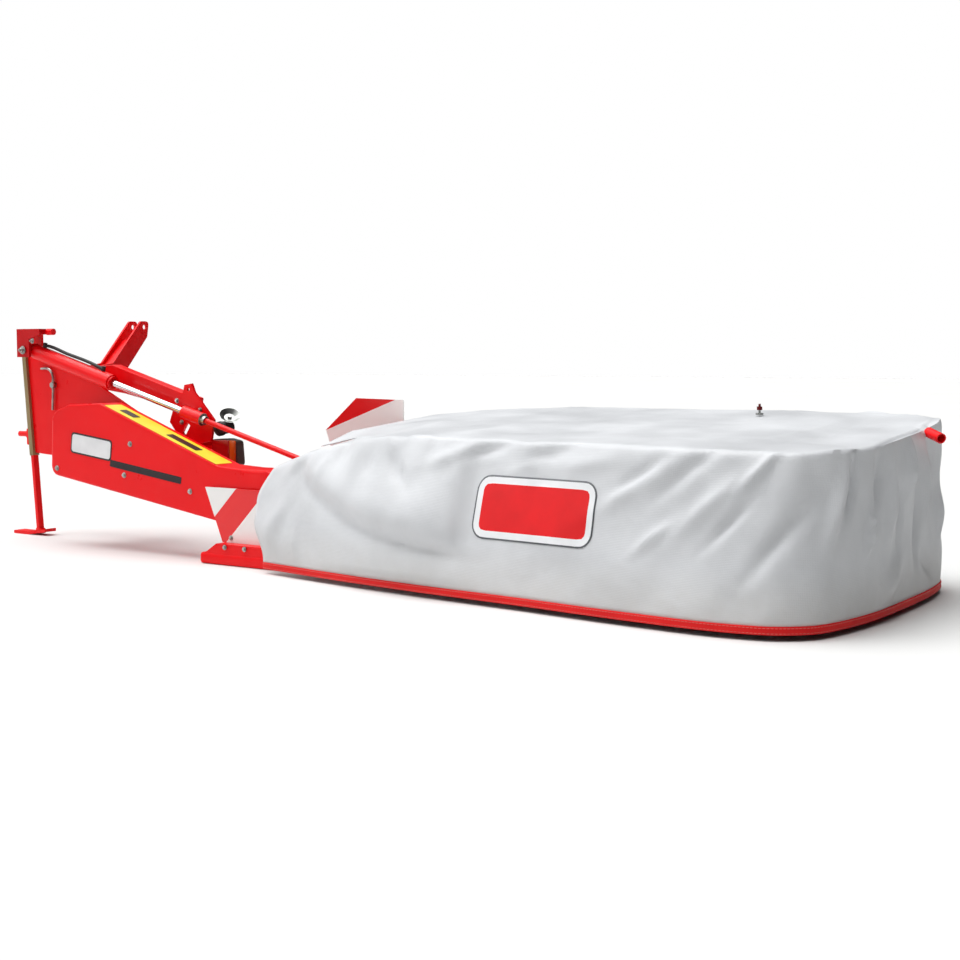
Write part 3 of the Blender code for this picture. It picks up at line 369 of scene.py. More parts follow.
def addBolt(shape, foot, direction, flats, stud=0.0):
    # a plain washer, a hexagon head with its chamfer, and the thread that stands past a nut
    def ring(name):
        return [flats * share for share in boltShares[name]]

    addDrum(shape, foot, direction, *ring("washer"), flats * boltShares["washerTall"])
    head = foot + direction * flats * boltShares["washerTall"]
    addDrum(shape, head, direction, *ring("corners"), flats * boltShares["headTall"], 6)
    crown = head + direction * flats * boltShares["headTall"]
    addDrum(shape, crown, direction, *ring("chamfer"), flats * boltShares["chamferTall"], 18)
    if stud:
        end = crown + direction * flats * boltShares["chamferTall"]
        addDrum(shape, end, direction, *ring("thread"), stud, 16)


rear = Vector((0, -1, 0))  # towards the back of the machine
up = Vector((0, 0, 1))

finishes = {
    "stand_guide": (oliveEnamel, "faded_guide"),
    "fold_buffer": (blackRubber, "black_rubber"),
    "lift_hose": (blackRubber, "black_rubber"),
    "rear_lamp": (lampPlastic, "black_plastic"),
    "cylinder_anchor": (castEnamel, "machine_red"),
    "bevel_gearbox": (castEnamel, "machine_red"),
    "hanger_rod": (zincSteel, "bare_steel"),
    "input_shaft": (bladeSteel, "bare_steel"),
    "fold_shaft": (bladeSteel, "bare_steel"),
    "guard_plate": (guardFilm, "machine_red"),
    "sign_plate": (signFilm, "machine_red"),
    "cover_latch": (zincSteel, "bare_steel"),
}
handled = {"tarpaulin", "cover_hem", "lift_rod", "cover_end_tube", "lock_knob", "cover_latch"}

for node in sorted(frame["nodes"]):
    if node in handled or node.startswith(("disc_", "skid_")):
        continue
    material, slotName = finishes.get(node, (redEnamel, "machine_red"))
    carryOver(node, [material])

rodStages = {
    "pin": (-1.71, -0.15, 0.94),
    "eye": (0.13, -0.15, 0.434),
    "chromeTo": 1.09,  # distances from the pin
    "collarFrom": 1.2125,
    "collarTo": 1.236,
}
pinPlace = place(*rodStages["pin"])
rodLine = (place(*rodStages["eye"]) - pinPlace).normalized()


def rodZone(face):
    along = (face.calc_center_median() - pinPlace).dot(rodLine)
    if along < rodStages["chromeTo"]:
        return 0
    return 2 if rodStages["collarFrom"] < along < rodStages["collarTo"] else 1


carryOver("lift_rod", [hardChrome, redEnamel, zincSteel], zone=rodZone)


endTube = {"mouth": (2.742, 0.23, 0.612), "root": (2.676, 0.293, 0.630), "plugDepth": 0.004}


def tubeZone(face):
    # the rubber plug is the end face that lies inside the tube's mouth
    mouth = place(*endTube["mouth"])
    line = (mouth - place(*endTube["root"])).normalized()
    inside = (face.calc_center_median() - mouth).dot(line) < -endTube["plugDepth"]
    return 1 if inside and face.normal.dot(line) > 0.7 else 0


twoTone = {"latchCapFrom": 0.693, "bladesBelow": 0.1195, "soleFacing": -0.5}


def above(level):
    return lambda face: 1 if face.calc_center_median().z > level else 0


def below(level):
    return lambda face: 1 if face.calc_center_median().z < level else 0


def soleZone(face):
    return 1 if face.normal.z < twoTone["soleFacing"] else 0


carryOver("cover_end_tube", [redEnamel, blackRubber], zone=tubeZone)
carryOver("lock_knob", [redEnamel])
carryOver("cover_latch", [zincSteel, maroonEnamel], zone=above(twoTone["latchCapFrom"]))
for number in range(1, 7):
    carryOver(f"disc_{number}", [redEnamel, bladeSteel], zone=below(twoTone["bladesBelow"]))
    carryOver(f"skid_{number}", [redEnamel, bladeSteel], zone=soleZone)
print("frame pieces finished")

armBolts = {
    "flats": 0.014,  # width across the head, which the other sizes of a bolt follow
    "face": -0.3402,
    "places": [(-0.817, 0.505), (-0.86, 0.359), (-0.438, 0.304), (-1.322, 0.373), (-0.05, 0.25)],
}
shape = bmesh.new()
for x, z in armBolts["places"]:
    addBolt(shape, place(x, armBolts["face"], z), rear, armBolts["flats"])
finishPiece("housingBolts", shape, [zincSteel], "drive_arm")

frameBolts = {
    "flats": 0.013,
    "face": -0.1045,
    "plate": [(-0.72, 0.60), (-0.60, 0.66), (-0.75, 0.70)],
    "pins": [(-1.71, -0.2125, 0.94, 0.022), (-1.635, -0.2125, 0.985, 0.014)],
    "pinStud": 0.008,
}
shape = bmesh.new()
for x, z in frameBolts["plate"]:
    addBolt(shape, place(x, frameBolts["face"], z), rear, frameBolts["flats"])
for x, y, z, flats in frameBolts["pins"]:
    addBolt(shape, place(x, y, z), rear, flats, frameBolts["pinStud"])
finishPiece("headstockBolts", shape, [zincSteel], "headstock")

barBolts = {
    "flats": 0.012,
    "flange": [(-0.155, -0.4203, 0.08), (-0.04, -0.4203, 0.08)],
    "lid": [(-0.03, 0.0), (0.10, 0.0), (-0.03, 0.09), (0.10, 0.09)],
    "lidTop": 0.3902,
    "liftPin": (0.13, -0.1803, 0.434),
    "liftPinFlats": 0.022,
    "liftPinStud": 0.01,
    "guard": (-0.17, -0.3632, 0.115),
}
shape = bmesh.new()
for x, y, z in barBolts["flange"]:
    addBolt(shape, place(x, y, z), rear, barBolts["flats"])
for x, y in barBolts["lid"]:
    addBolt(shape, place(x, y, barBolts["lidTop"]), up, barBolts["flats"])
addBolt(shape, place(*barBolts["liftPin"]), rear, barBolts["liftPinFlats"], barBolts["liftPinStud"])
addBolt(shape, place(*barBolts["guard"]), rear, barBolts["flats"])
finishPiece("barBolts", shape, [zincSteel], "mower_bar")

discBolts = {"hub": 0.034, "hubStud": 0.006, "blade": 0.012, "bladeAt": 0.155, "bladeThick": 0.0015}
for number in range(1, 7):
    low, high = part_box(f"disc_{number}")
    centre = (low + high) / 2
    # each disc is a quarter turn on from the last
    along = Vector((0, 1, 0)) if number % 2 else Vector((1, 0, 0))
    shape = bmesh.new()
    top = Vector((centre.x, centre.y, high.z))
    addBolt(shape, top + up * 0.0002, up, discBolts["hub"], discBolts["hubStud"])
    for side in (-1, 1):
        under = Vector((centre.x, centre.y, low.z + discBolts["bladeThick"]))
        under += along * side * discBolts["bladeAt"]
        addBolt(shape, under, up * -1, discBolts["blade"])
    finishPiece(f"discBolts{number}", shape, [zincSteel], f"disc_{number}")

cup = {
    "foot": (-0.452, -0.066, 0.622),
    "lean": (0.55, -0.42, 0.8),
    "neck": 0.020,
    "mouth": 0.050,
    "tall": 0.022,
    "rim": 0.003,
    "slope": 0.022,
    "dish": 0.015,
    "nut": 0.011,
    "nutUp": 0.007,
}
shape = bmesh.new()
direction = Vector(cup["lean"]).normalized()
foot = place(*cup["foot"])
addDrum(shape, foot, direction, cup["neck"], cup["mouth"], cup["tall"], 48)
mouth = max(shape.faces, key=lambda f: (f.calc_center_median() - foot).dot(direction) * (len(f.verts) > 8))
bmesh.ops.inset_region(shape, faces=[mouth], thickness=cup["rim"])
bmesh.ops.inset_region(shape, faces=[mouth], thickness=cup["slope"], depth=-cup["dish"])
addDrum(shape, foot + direction * cup["nutUp"], direction, cup["nut"], cup["nut"] - 0.001, 0.010, 6)
finishPiece("bufferCup", shape, [zincSteel], "headstock")

lamp = {"front": -0.0885, "proud": 0.007, "split": -0.43, "gap": 0.001, "edge": 0.007, "rounding": 0.0035}
lampLow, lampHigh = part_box("rear_lamp")


def lensBlock(name, low, high, material):
    shape = bmesh.new()
    size = high - low
    spot = Matrix.Translation((low + high) / 2) @ Matrix.Diagonal((size.x, size.y, size.z, 1))
    bmesh.ops.create_cube(shape, size=1.0, matrix=spot)
    rim = [e for e in shape.edges if min(v.co.y for v in e.verts) < low.y + 0.0001]
    bmesh.ops.bevel(
        shape, geom=rim, offset=lamp["rounding"], segments=3, profile=0.5, affect="EDGES", material=-1)
    finishPiece(name, shape, [material], "headstock", 50)


lensLow = place(0, lamp["front"] - lamp["proud"], 0).y
lensHigh = place(0, lamp["front"] - 0.0002, 0).y
edge = lamp["edge"]
splitX = place(lamp["split"], 0, 0).x
lensBlock("lampRedLens", Vector((lampLow.x + edge, lensLow, lampLow.z + edge)),
          Vector((splitX - lamp["gap"], lensHigh, lampHigh.z - edge)), redLens)
lensBlock("lampAmberLens", Vector((splitX + lamp["gap"], lensLow, lampLow.z + edge)),
          Vector((lampHigh.x - edge, lensHigh, lampHigh.z - edge)), amberLens)
print("bolts, pins and lamp made")

filmThick = 0.0008
stripFilm = {
    "start": (-1.02, 0.690),
    "end": (-0.264, 0.425),
    "rear": -0.333,
    "front": -0.228,
    "corner": 0.006,
    "lift": 0.0004,
    "bands": [("housingBandOne", 0.10, 0.20), ("housingBandTwo", 0.42, 0.62)],
    "bandInset": 0.03,
    "bandLift": 0.0013,
}


def patch(name, corners, outward, film, body, rounding):
    # a thin film: its outline filled, its corners rounded, then given its thickness
    shape = bmesh.new()
    shape.faces.new([shape.verts.new(c) for c in corners])
    bmesh.ops.bevel(
        shape, geom=shape.verts[:], offset=rounding, segments=6, profile=0.5, affect="VERTICES", material=-1)
    raised = bmesh.ops.extrude_face_region(shape, geom=shape.faces[:])["geom"]
    moved = [item for item in raised if isinstance(item, bmesh.types.BMVert)]
    bmesh.ops.translate(shape, verts=moved, vec=outward * filmThick)
    bmesh.ops.recalc_face_normals(shape, faces=shape.faces)
    return finishPiece(name, shape, [film], body)


stripLow = Vector((stripFilm["start"][0], 0, stripFilm["start"][1]))
stripHigh = Vector((stripFilm["end"][0], 0, stripFilm["end"][1]))
stripLine = (stripHigh - stripLow).normalized()
stripUp = Vector((-stripLine.z, 0, stripLine.x))


def onStrip(along, y, lift):
    spot = stripLow + stripLine * along + stripUp * lift
    return place(spot.x, y, spot.z)


def stripPatch(name, start, end, film, inset, lift):
    back, front = stripFilm["rear"] + inset, stripFilm["front"] - inset
    corners = [onStrip(start, back, lift), onStrip(end, back, lift),
               onStrip(end, front, lift), onStrip(start, front, lift)]
    patch(name, corners, stripUp, film, "drive_arm", stripFilm["corner"])


stripLength = (stripHigh - stripLow).length
stripPatch("housingStrip", 0.03, stripLength - 0.02, yellowFilm, 0.0, stripFilm["lift"])
for name, start, end in stripFilm["bands"]:
    stripPatch(name, start, end, darkFilm, stripFilm["bandInset"], stripFilm["bandLift"])

housingBadge = {
    "centre": (-1.08, 0.485),
    "half": (0.14, 0.05),
    "lean": -0.12,
    "border": 0.008,
    "lift": 0.0009,
}
housingLabel = {"start": (-0.953, 0.412), "end": (-0.492, 0.35), "half": 0.016}


def housingPatch(name, centre, half, lean, film, lift):
    right = Vector((cos(lean), 0, sin(lean)))
    upright = Vector((-sin(lean), 0, cos(lean)))
    corners = []
    for a, b in ((-1, -1), (1, -1), (1, 1), (-1, 1)):
        spot = right * a * half[0] + upright * b * half[1]
        corners.append(place(centre[0] + spot.x, armBolts["face"] - lift, centre[1] + spot.z))
    patch(name, corners, rear, film, "drive_arm", min(half) * 0.35)


badgeMiddle, badgeLean = housingBadge["centre"], housingBadge["lean"]
housingPatch("housingBadge", badgeMiddle, housingBadge["half"], badgeLean, darkFilm, 0)
inner = [h - housingBadge["border"] for h in housingBadge["half"]]
housingPatch("housingBadgeFace", badgeMiddle, inner, badgeLean, paleFilm, housingBadge["lift"])
labelStart, labelEnd = (Vector((p[0], 0, p[1])) for p in (housingLabel["start"], housingLabel["end"]))
labelMiddle = (labelStart + labelEnd) / 2
labelSpan = labelEnd - labelStart
labelLean = labelSpan.z / labelSpan.x
housingPatch("housingLabel", (labelMiddle.x, labelMiddle.z), (labelSpan.length / 2, housingLabel["half"]),
             labelLean, darkFilm, 0)
print("films laid on the housing")

cover = {
    "hem": [(0.14, -0.50), (0.62, -0.59), (1.11, -0.655), (1.52, -0.69), (1.90, -0.74), (2.28, -0.77),
            (2.50, -0.74), (2.63, -0.63), (2.69, -0.30), (2.69, 0.30), (2.655, 0.60), (2.52, 0.78),
            (2.28, 0.82), (1.90, 0.82), (1.52, 0.82), (1.11, 0.82), (0.62, 0.81), (0.14, 0.79)],
    "top": [(0.14, -0.40, 0.44), (0.62, -0.43, 0.588), (1.11, -0.50, 0.60), (1.52, -0.55, 0.60),
            (1.90, -0.61, 0.60), (2.28, -0.63, 0.60), (2.47, -0.61, 0.60), (2.60, -0.52, 0.60),
            (2.67, -0.27, 0.605), (2.665, 0.29, 0.645), (2.63, 0.58, 0.672), (2.50, 0.76, 0.68),
            (2.28, 0.80, 0.68), (1.90, 0.80, 0.68), (1.52, 0.80, 0.68), (1.11, 0.80, 0.678),
            (0.62, 0.79, 0.67), (0.14, 0.77, 0.63)],
    "columns": 22,  # between two stations
    "skirtRows": 34,
    "topRows": 24,
    "skirtLean": 1.4,  # above 1, the skirt stands straighter near the hem
    "topRun": 1.35,
    "easing": 60,  # rounds of smoothing along the outlines, which round the corners
    "hemTop": 0.046,
    "spineY": 0.10,
    "spineEnd": 2.35,
    "spine": [(0.14, 0.575), (0.62, 0.633), (1.11, 0.643), (2.28, 0.644), (2.35, 0.625)],
    "thick": 0.003,
    "bulge": 0.08,
    "sag": 0.010,
    "endFolds": 1.8,
    "deepest": 0.026,  # how far a hollow may go in, and less near the tubes
    "deepestNearTop": 0.012,
    "clear": 0.0055,
    "slot": (0.34, -0.185, -0.115, 0.30),  # far end, rear side, front side and foot of the rod's slot
}
badge = {
    "centre": (1.556, 0.357),
    "half": (0.27, 0.115),
    "corner": 0.055,
    "turns": 128,
    "lift": 0.0022,
    "thick": 0.0009,
    "insets": (0.0, 0.006, 0.030, 0.036),
    "rings": (0.93, 0.85, 0.75, 0.64, 0.52, 0.4, 0.27, 0.14, 0.0),
}
swoosh = {
    "start": 0.25,
    "drop": 0.36,
    "reach": 0.33,
    "level": 0.15,
    "depth": 0.072,
    "flare": 0.35,  # share of the depth that stands out again below the line
    "narrow": 0.060,
    "wide": 0.105,
    "widens": (0.25, 1.1),
    "begins": (0.20, 0.42),
    "ends": (1.02, 1.40),
    "shallow": 0.45,  # share of the depth where it begins
    "deepens": (0.25, 0.80),
}
gathers = {"size": 7.0, "sizeUp": 2.5, "rise": 0.034, "levels": (0.36, 0.54)}
creases = [(3.1, (0, 0, 0), 0.010), (8.0, (3, 1, 7), 0.0035), (21.0, (9, 4, 2), 0.0010)]
stiff = {  # share of the folds that is left
    "inner": 0.15,
    "innerRun": (0.14, 0.48),
    "innerSide": (0.22, 0.36),
    "badge": 0.25,
    "badgeFade": (0.0, 0.10),
}
fades = {  # from and to, in metres
    "aboveHem": (0.046, 0.116),
    "fromHem": (0.045, 0.076),
    "rearFolds": (0.35, 0.85),
    "nearTop": (0.48, 0.56),
    "sagRear": (-0.45, -0.1),
    "sagFront": (0.3, 0.7),
    "sagInner": (0.3, 0.7),
    "bulgeRun": (0.14, 0.55),
    "bulgeSide": (0.1, 0.3),
    "bulgeFoot": (0.05, 0.22),
    "bulgeHead": (0.30, 0.50),
}
slopes = {  # from and to, as a part of the cloth's normal
    "upright": (0.6, 0.9),
    "facesRear": (0.2, 0.7),
    "facesEnd": (0.3, 0.75),
    "isTop": 0.75,
}
# rows of folds: first and last place along the side, how many, height and its swing, lean in degrees at
# either end of the row, half length, half width and rise
rearRows = {
    "innerGathers": (0.30, 0.90, 8, 0.50, 0.05, 60, 130, 0.07, 0.018, 0.015),
    "slackUnderTop": (1.15, 1.75, 5, 0.53, 0.04, 20, 10, 0.09, 0.020, 0.010),
    "pullsToCorner": (1.90, 2.50, 8, 0.42, 0.12, 30, 55, 0.12, 0.022, 0.011),
    "innerHem": (0.24, 0.36, 3, 0.19, 0.05, 60, 80, 0.09, 0.020, 0.010),
}
endRows = {
    "hangingCreases": (-0.50, 0.54, 12, 0.42, 0.10, 66, 96, 0.11, 0.020, 0.011),
    "nearHem": (-0.12, 0.30, 2, 0.13, 0.02, 30, 150, 0.10, 0.030, 0.008),
}


def foldRow(first, last, count, level, swing, lean, leanEnd, long, wide, rise):
    # each fold: place along the side, height, half length, half width, lean, rise in or out; the turns of 1.7
    # and 2.4 between neighbours keep the row from repeating
    folds = []
    for i in range(count):
        share = i / (count - 1)
        size = 1 + 0.3 * cos(1.7 * i)
        middle = first + (last - first) * share
        height = level + swing * sin(2.4 * i)
        turn = lean + (leanEnd - lean) * share
        folds.append((middle, height, long * size, wide * size, turn, 1.6 * rise * (-1) ** i))
    return folds


rearFolds = [fold for row in rearRows.values() for fold in foldRow(*row)]
endFolds = [fold for row in endRows.values() for fold in foldRow(*row)]


def between(table, x):
    for (a, low), (b, high) in zip(table, table[1:]):
        if x <= b:
            share = max(0.0, (x - a) / (b - a))
            return low + (high - low) * share
    return table[-1][1]


def ease(value, low, high):
    share = min(1.0, max(0.0, (value - low) / (high - low)))
    return share * share * (3 - 2 * share)


def easedLine(line, rounds):
    for _ in range(rounds):
        eased = [(p + q * 2 + r) / 4 for p, q, r in zip(line, line[1:], line[2:])]
        line = [line[0], *eased, line[-1]]
    return line


def stationLine(points, columns, rounds):
    # points every few centimetres along the stations, with the corners eased
    line = []
    for a, b in zip(points, points[1:]):
        for step in range(columns):
            line.append(Vector(a).lerp(Vector(b), step / columns))
    line.append(Vector(points[-1]))
    return easedLine(line, rounds)


def foldHeight(folds, a, z):
    height = 0.0
    for middle, level, long, wide, lean, rise in folds:
        across, along = a - middle, z - level
        u = (across * cos(radians(lean)) + along * sin(radians(lean))) / long
        v = (along * cos(radians(lean)) - across * sin(radians(lean))) / wide
        if u * u + v * v < 9:
            height += rise * exp(-u * u - v * v)
    return height


def swooshHeight(x, z):
    # the long valley that the fabric hangs in: a belly above its line and a flare below
    gap = z - swoosh["level"] - swoosh["drop"] * exp((swoosh["start"] - x) / swoosh["reach"])
    width = swoosh["narrow"] + (swoosh["wide"] - swoosh["narrow"]) * ease(x, *swoosh["widens"])
    share = ease(x, *swoosh["begins"]) * (1 - ease(x, *swoosh["ends"]))
    share *= swoosh["shallow"] + (1 - swoosh["shallow"]) * ease(x, *swoosh["deepens"])
    if gap > 0:
        return swoosh["depth"] * share * gap / width * exp(1 - gap / width)
    return swoosh["depth"] * swoosh["flare"] * share * -gap / width * exp(1 + gap / width)


def pucker(point):
    # short gathers under the top edge, where the cloth is pulled tight over the tube
    size = gathers["size"]
    wave = noise.noise(Vector((point.x * size, point.y * size, point.z * gathers["sizeUp"])))
    return max(0.0, wave) * gathers["rise"] * ease(point.z, *gathers["levels"])


def calm(point):
    # the badge stiffens the cloth behind it, and the inner end is laced tight by the rod slot
    away = max(ease(point.x, *stiff["innerRun"]), ease(-point.y, *stiff["innerSide"]))
    inner = stiff["inner"] + (1 - stiff["inner"]) * away
    far = hypot(max(abs(point.x - badge["centre"][0]) - badge["half"][0], 0.0),
                max(abs(point.z - badge["centre"][1]) - badge["half"][1], 0.0))
    if point.y > 0:
        return inner
    return inner * (stiff["badge"] + (1 - stiff["badge"]) * ease(far, *stiff["badgeFade"]))


def wrinkle(point):
    return sum(noise.noise(point * scale + Vector(shift)) * rise for scale, shift, rise in creases)


columns = cover["columns"]
hemLine = stationLine([(x, y, cover["hemTop"]) for x, y in cover["hem"]], columns, cover["easing"])
topLine = stationLine(cover["top"], columns, cover["easing"])
count = len(hemLine) - 1
skirtRows, topRows = cover["skirtRows"], cover["topRows"]
rows = skirtRows + topRows


def coverColumn(index):
    low, high, pair = hemLine[index], topLine[index], topLine[count - index]
    spineX = min((high.x + pair.x) / 2, cover["spineEnd"])
    crest = Vector((spineX, cover["spineY"], between(cover["spine"], spineX)))
    line = []
    for row in range(skirtRows):
        share = row / skirtRows
        plan = low.lerp(high, share ** cover["skirtLean"])
        line.append(Vector((plan.x, plan.y, low.z + (high.z - low.z) * share)))
    for row in range(topRows + 1):
        line.append(high.lerp(crest, (row / topRows) ** cover["topRun"]))
    return easedLine(line, 3)


shape = bmesh.new()
bmesh.ops.create_grid(shape, x_segments=count, y_segments=rows, size=0.5)
cloth = shape.loops.layers.uv.new("cloth")
lines = [coverColumn(i) for i in range(count + 1)]
gone = 0.0
alongHem = []
for i in range(count + 1):
    gone += (hemLine[i] - hemLine[max(i - 1, 0)]).length
    alongHem.append(gone)
spots = {}
for vert in shape.verts:
    i = round((vert.co.x + 0.5) * count)
    j = round((vert.co.y + 0.5) * rows)
    spots[vert.index] = (i, j)
    vert.co = origin + lines[i][j]
for face in shape.faces:
    for loop in face.loops:
        i, j = spots[loop.vert.index]
        loop[cloth].uv = (alongHem[i], j * 0.018)
bmesh.ops.remove_doubles(shape, verts=shape.verts, dist=0.0005)
bmesh.ops.recalc_face_normals(shape, faces=shape.faces)
highest = max(shape.faces, key=lambda f: f.calc_center_median().z)
if highest.normal.z < 0:
    bmesh.ops.reverse_faces(shape, faces=shape.faces)
shape.normal_update()
moves = []
for vert in shape.verts:
    spot, normal = vert.co - origin, vert.normal
    height = wrinkle(spot) * (0.35 + 0.65 * ease(spot.z, *fades["aboveHem"]))
    height += pucker(spot) * (1 - ease(normal.z, *slopes["upright"]))
    if normal.z < slopes["isTop"]:
        facing = ease(-normal.y, *slopes["facesRear"])
        if facing:
            folds = foldHeight(rearFolds, spot.x, spot.z) * (0.80 + 0.20 * ease(spot.x, *fades["rearFolds"]))
            height += facing * (swooshHeight(spot.x, spot.z) + folds)
        ending = ease(normal.x, *slopes["facesEnd"])
        if ending:
            height += ending * foldHeight(endFolds, spot.y, spot.z) * cover["endFolds"]
    else:
        sag = ease(spot.y, *fades["sagRear"]) * (1 - ease(spot.y, *fades["sagFront"]))
        height -= cover["sag"] * sag * ease(spot.x, *fades["sagInner"])
    height *= calm(spot)
    nearTop = ease(spot.z, *fades["nearTop"])
    height = max(height, -cover["deepest"] + (cover["deepest"] - cover["deepestNearTop"]) * nearTop)
    moves.append(normal * height * ease(spot.z, *fades["fromHem"]))
for vert, move in zip(shape.verts, moves):
    vert.co += move
    spot = vert.co - origin
    bulge = (1 - ease(spot.x, *fades["bulgeRun"])) * ease(-spot.y, *fades["bulgeSide"])
    bulge *= ease(spot.z, *fades["bulgeFoot"]) * (1 - ease(spot.z, *fades["bulgeHead"]))
    vert.co.x -= cover["bulge"] * bulge
rounded = {"rounds": 2, "to": 0.9, "behind": -0.3, "above": 0.1}
border = {v for e in shape.edges if e.is_boundary for v in e.verts}
crowded = []
for vert in shape.verts:
    spot = vert.co - origin
    rearInner = spot.x < rounded["to"] and spot.y < rounded["behind"] and spot.z > rounded["above"]
    if rearInner and vert not in border:
        crowded.append(vert)
for _ in range(rounded["rounds"]):  # the gathers at the inner end are rounded off
    bmesh.ops.smooth_vert(shape, verts=crowded, factor=0.5, use_axis_x=True, use_axis_y=True, use_axis_z=True)
frameMesh = frame["nodes"]["cover_frame"].data
frameTree = BVHTree.FromPolygons([v.co for v in frameMesh.vertices], [p.vertices for p in frameMesh.polygons])
for _ in range(3):  # the cloth is lifted off the tubes wherever they would show through
    shape.normal_update()
    for vert in shape.verts:
        point, normal, _, _ = frameTree.find_nearest(vert.co, 0.05)
        short = cover["clear"] - (vert.co - point).dot(normal) if point else 0.0
        if short > 0:
            vert.co += vert.normal * min(short, 0.02) * 0.8
slotEnd, slotRear, slotFront, slotLow = cover["slot"]
for spot, direction in ((place(slotEnd, 0, 0), (1, 0, 0)), (place(0, slotRear, 0), (0, 1, 0)),
                        (place(0, slotFront, 0), (0, 1, 0))):
    near = [f for f in shape.faces if (f.calc_center_median() - origin).x < slotEnd + 0.1]
    geometry = near + list({e for f in near for e in f.edges}) + list({v for f in near for v in f.verts})
    bmesh.ops.bisect_plane(shape, geom=geometry, dist=0.00001, plane_co=spot, plane_no=direction)
opened = []
for face in shape.faces:
    middle = face.calc_center_median() - origin
    if middle.x < slotEnd and slotRear < middle.y < slotFront and middle.z > slotLow:
        opened.append(face)
bmesh.ops.delete(shape, geom=opened, context="FACES")
area = sum(f.calc_area() for f in shape.faces)
print("cover cloth area", round(area, 3), "faces", len(shape.faces))
coverTree = BVHTree.FromBMesh(shape)
coverCloth = finishPiece("coverCloth", shape, [coverFabric], "mower_bar", 75, ("tarpaulin",))
wall = coverCloth.modifiers.new("clothThickness", "SOLIDIFY")
wall.thickness = cover["thick"]
wall.offset = -1

hemBand = {"low": 0.020, "high": 0.048, "thick": 0.0062, "rows": 4}
shape = bmesh.new()
bmesh.ops.create_grid(shape, x_segments=count, y_segments=hemBand["rows"], size=0.5)
cloth = shape.loops.layers.uv.new("cloth")
spots = {}
for vert in shape.verts:
    i = round((vert.co.x + 0.5) * count)
    share = vert.co.y + 0.5
    level = hemBand["low"] + (hemBand["high"] - hemBand["low"]) * share
    spots[vert.index] = (alongHem[i], level)
    vert.co = origin + Vector((hemLine[i].x, hemLine[i].y, level))
for face in shape.faces:
    for loop in face.loops:
        loop[cloth].uv = spots[loop.vert.index]
shape.normal_update()
outer = max(shape.faces, key=lambda f: f.calc_center_median().x)
if outer.normal.x < 0:
    bmesh.ops.reverse_faces(shape, faces=shape.faces)
hemPiece = finishPiece("coverHem", shape, [hemWebbing], "mower_bar", 75, ("cover_hem",))
wall = hemPiece.modifiers.new("bandThickness", "SOLIDIFY")
wall.thickness = hemBand["thick"]
wall.offset = 0
rounding = hemPiece.modifiers.new("bandEdge", "BEVEL")
rounding.width = 0.0018
rounding.segments = 2
rounding.limit_method = "ANGLE"

stitch = {"step": 0.013, "long": 0.009, "thick": 0.0016, "levels": (0.0425, 0.0255)}
shape = bmesh.new()
for level in stitch["levels"]:
    wanted = 0.01
    for i in range(count):
        while alongHem[i] <= wanted < alongHem[i + 1]:
            run = hemLine[i + 1] - hemLine[i]
            spot = hemLine[i] + run * (wanted - alongHem[i]) / run.length
            run.normalize()
            out = Vector((run.y, -run.x, 0))
            turn = Matrix((
                (run.x, out.x, 0, 0), (run.y, out.y, 0, 0), (0, 0, 1, 0), (0, 0, 0, 1)))
            middle = origin + Vector((spot.x, spot.y, level)) + out * (hemBand["thick"] / 2 + 0.0004)
            size = Matrix.Diagonal((stitch["long"], stitch["thick"], stitch["thick"], 1))
            bmesh.ops.create_cube(shape, size=1.0, matrix=Matrix.Translation(middle) @ turn @ size)
            wanted += stitch["step"]
stitches = finishPiece("hemStitches", shape, [seamThread], "mower_bar")
print("cover and hem made")


def outsideBy(half, corner, x, z):
    # how far a place lies outside a rounded rectangle, and below nought inside it
    qx, qz = abs(x) - half[0] + corner, abs(z) - half[1] + corner
    return hypot(max(qx, 0), max(qz, 0)) + min(max(qx, qz), 0) - corner


def roundedEdge(half, corner, angle):
    # where a ray from the middle meets a rounded rectangle, found by halving the step
    step = 0.5
    reach = 0.0
    for _ in range(40):
        if outsideBy(half, corner, cos(angle) * (reach + step), sin(angle) * (reach + step)) < 0:
            reach += step
        else:
            step /= 2
        step = max(step, 0.00005)
    return reach


shape = bmesh.new()
turns = badge["turns"]
rings = []
for inset in badge["insets"]:
    half = [h - inset for h in badge["half"]]
    corner = badge["corner"] - inset
    rings.append([(roundedEdge(half, corner, 2 * pi * k / turns), 2 * pi * k / turns) for k in range(turns)])
innermost = rings[-1]
for share in badge["rings"]:
    rings.append([(reach * share, angle) for reach, angle in innermost])
bmesh.ops.create_grid(shape, x_segments=turns, y_segments=len(rings) - 1, size=0.5)
for vert in shape.verts:
    k = round((vert.co.x + 0.5) * turns) % turns
    j = round((vert.co.y + 0.5) * (len(rings) - 1))
    reach, angle = rings[j][k]
    aim = place(badge["centre"][0] + reach * cos(angle), -2, badge["centre"][1] + reach * sin(angle))
    hit, normal, _, _ = coverTree.ray_cast(aim, -rear)
    if normal.y > 0:
        normal = -normal
    vert.co = hit + normal * badge["lift"]
bmesh.ops.remove_doubles(shape, verts=shape.verts, dist=0.0001)
bmesh.ops.recalc_face_normals(shape, faces=shape.faces)
if sum(f.normal.y for f in shape.faces) > 0:
    bmesh.ops.reverse_faces(shape, faces=shape.faces)
middle = place(badge["centre"][0], 0, badge["centre"][1])
for face in shape.faces:
    spot = face.calc_center_median() - middle
    depth = -outsideBy(badge["half"], badge["corner"], spot.x, spot.z)
    face.material_index = sum(depth >= inset for inset in badge["insets"][1:3])  # grey, white, red
badgePiece = finishPiece(
    "coverBadge", shape, [greyFilm, whitePatch, redFilm], "mower_bar", 75)
wall = badgePiece.modifiers.new("patchThickness", "SOLIDIFY")
wall.thickness = badge["thick"]
wall.offset = -1
print("badge welded on")

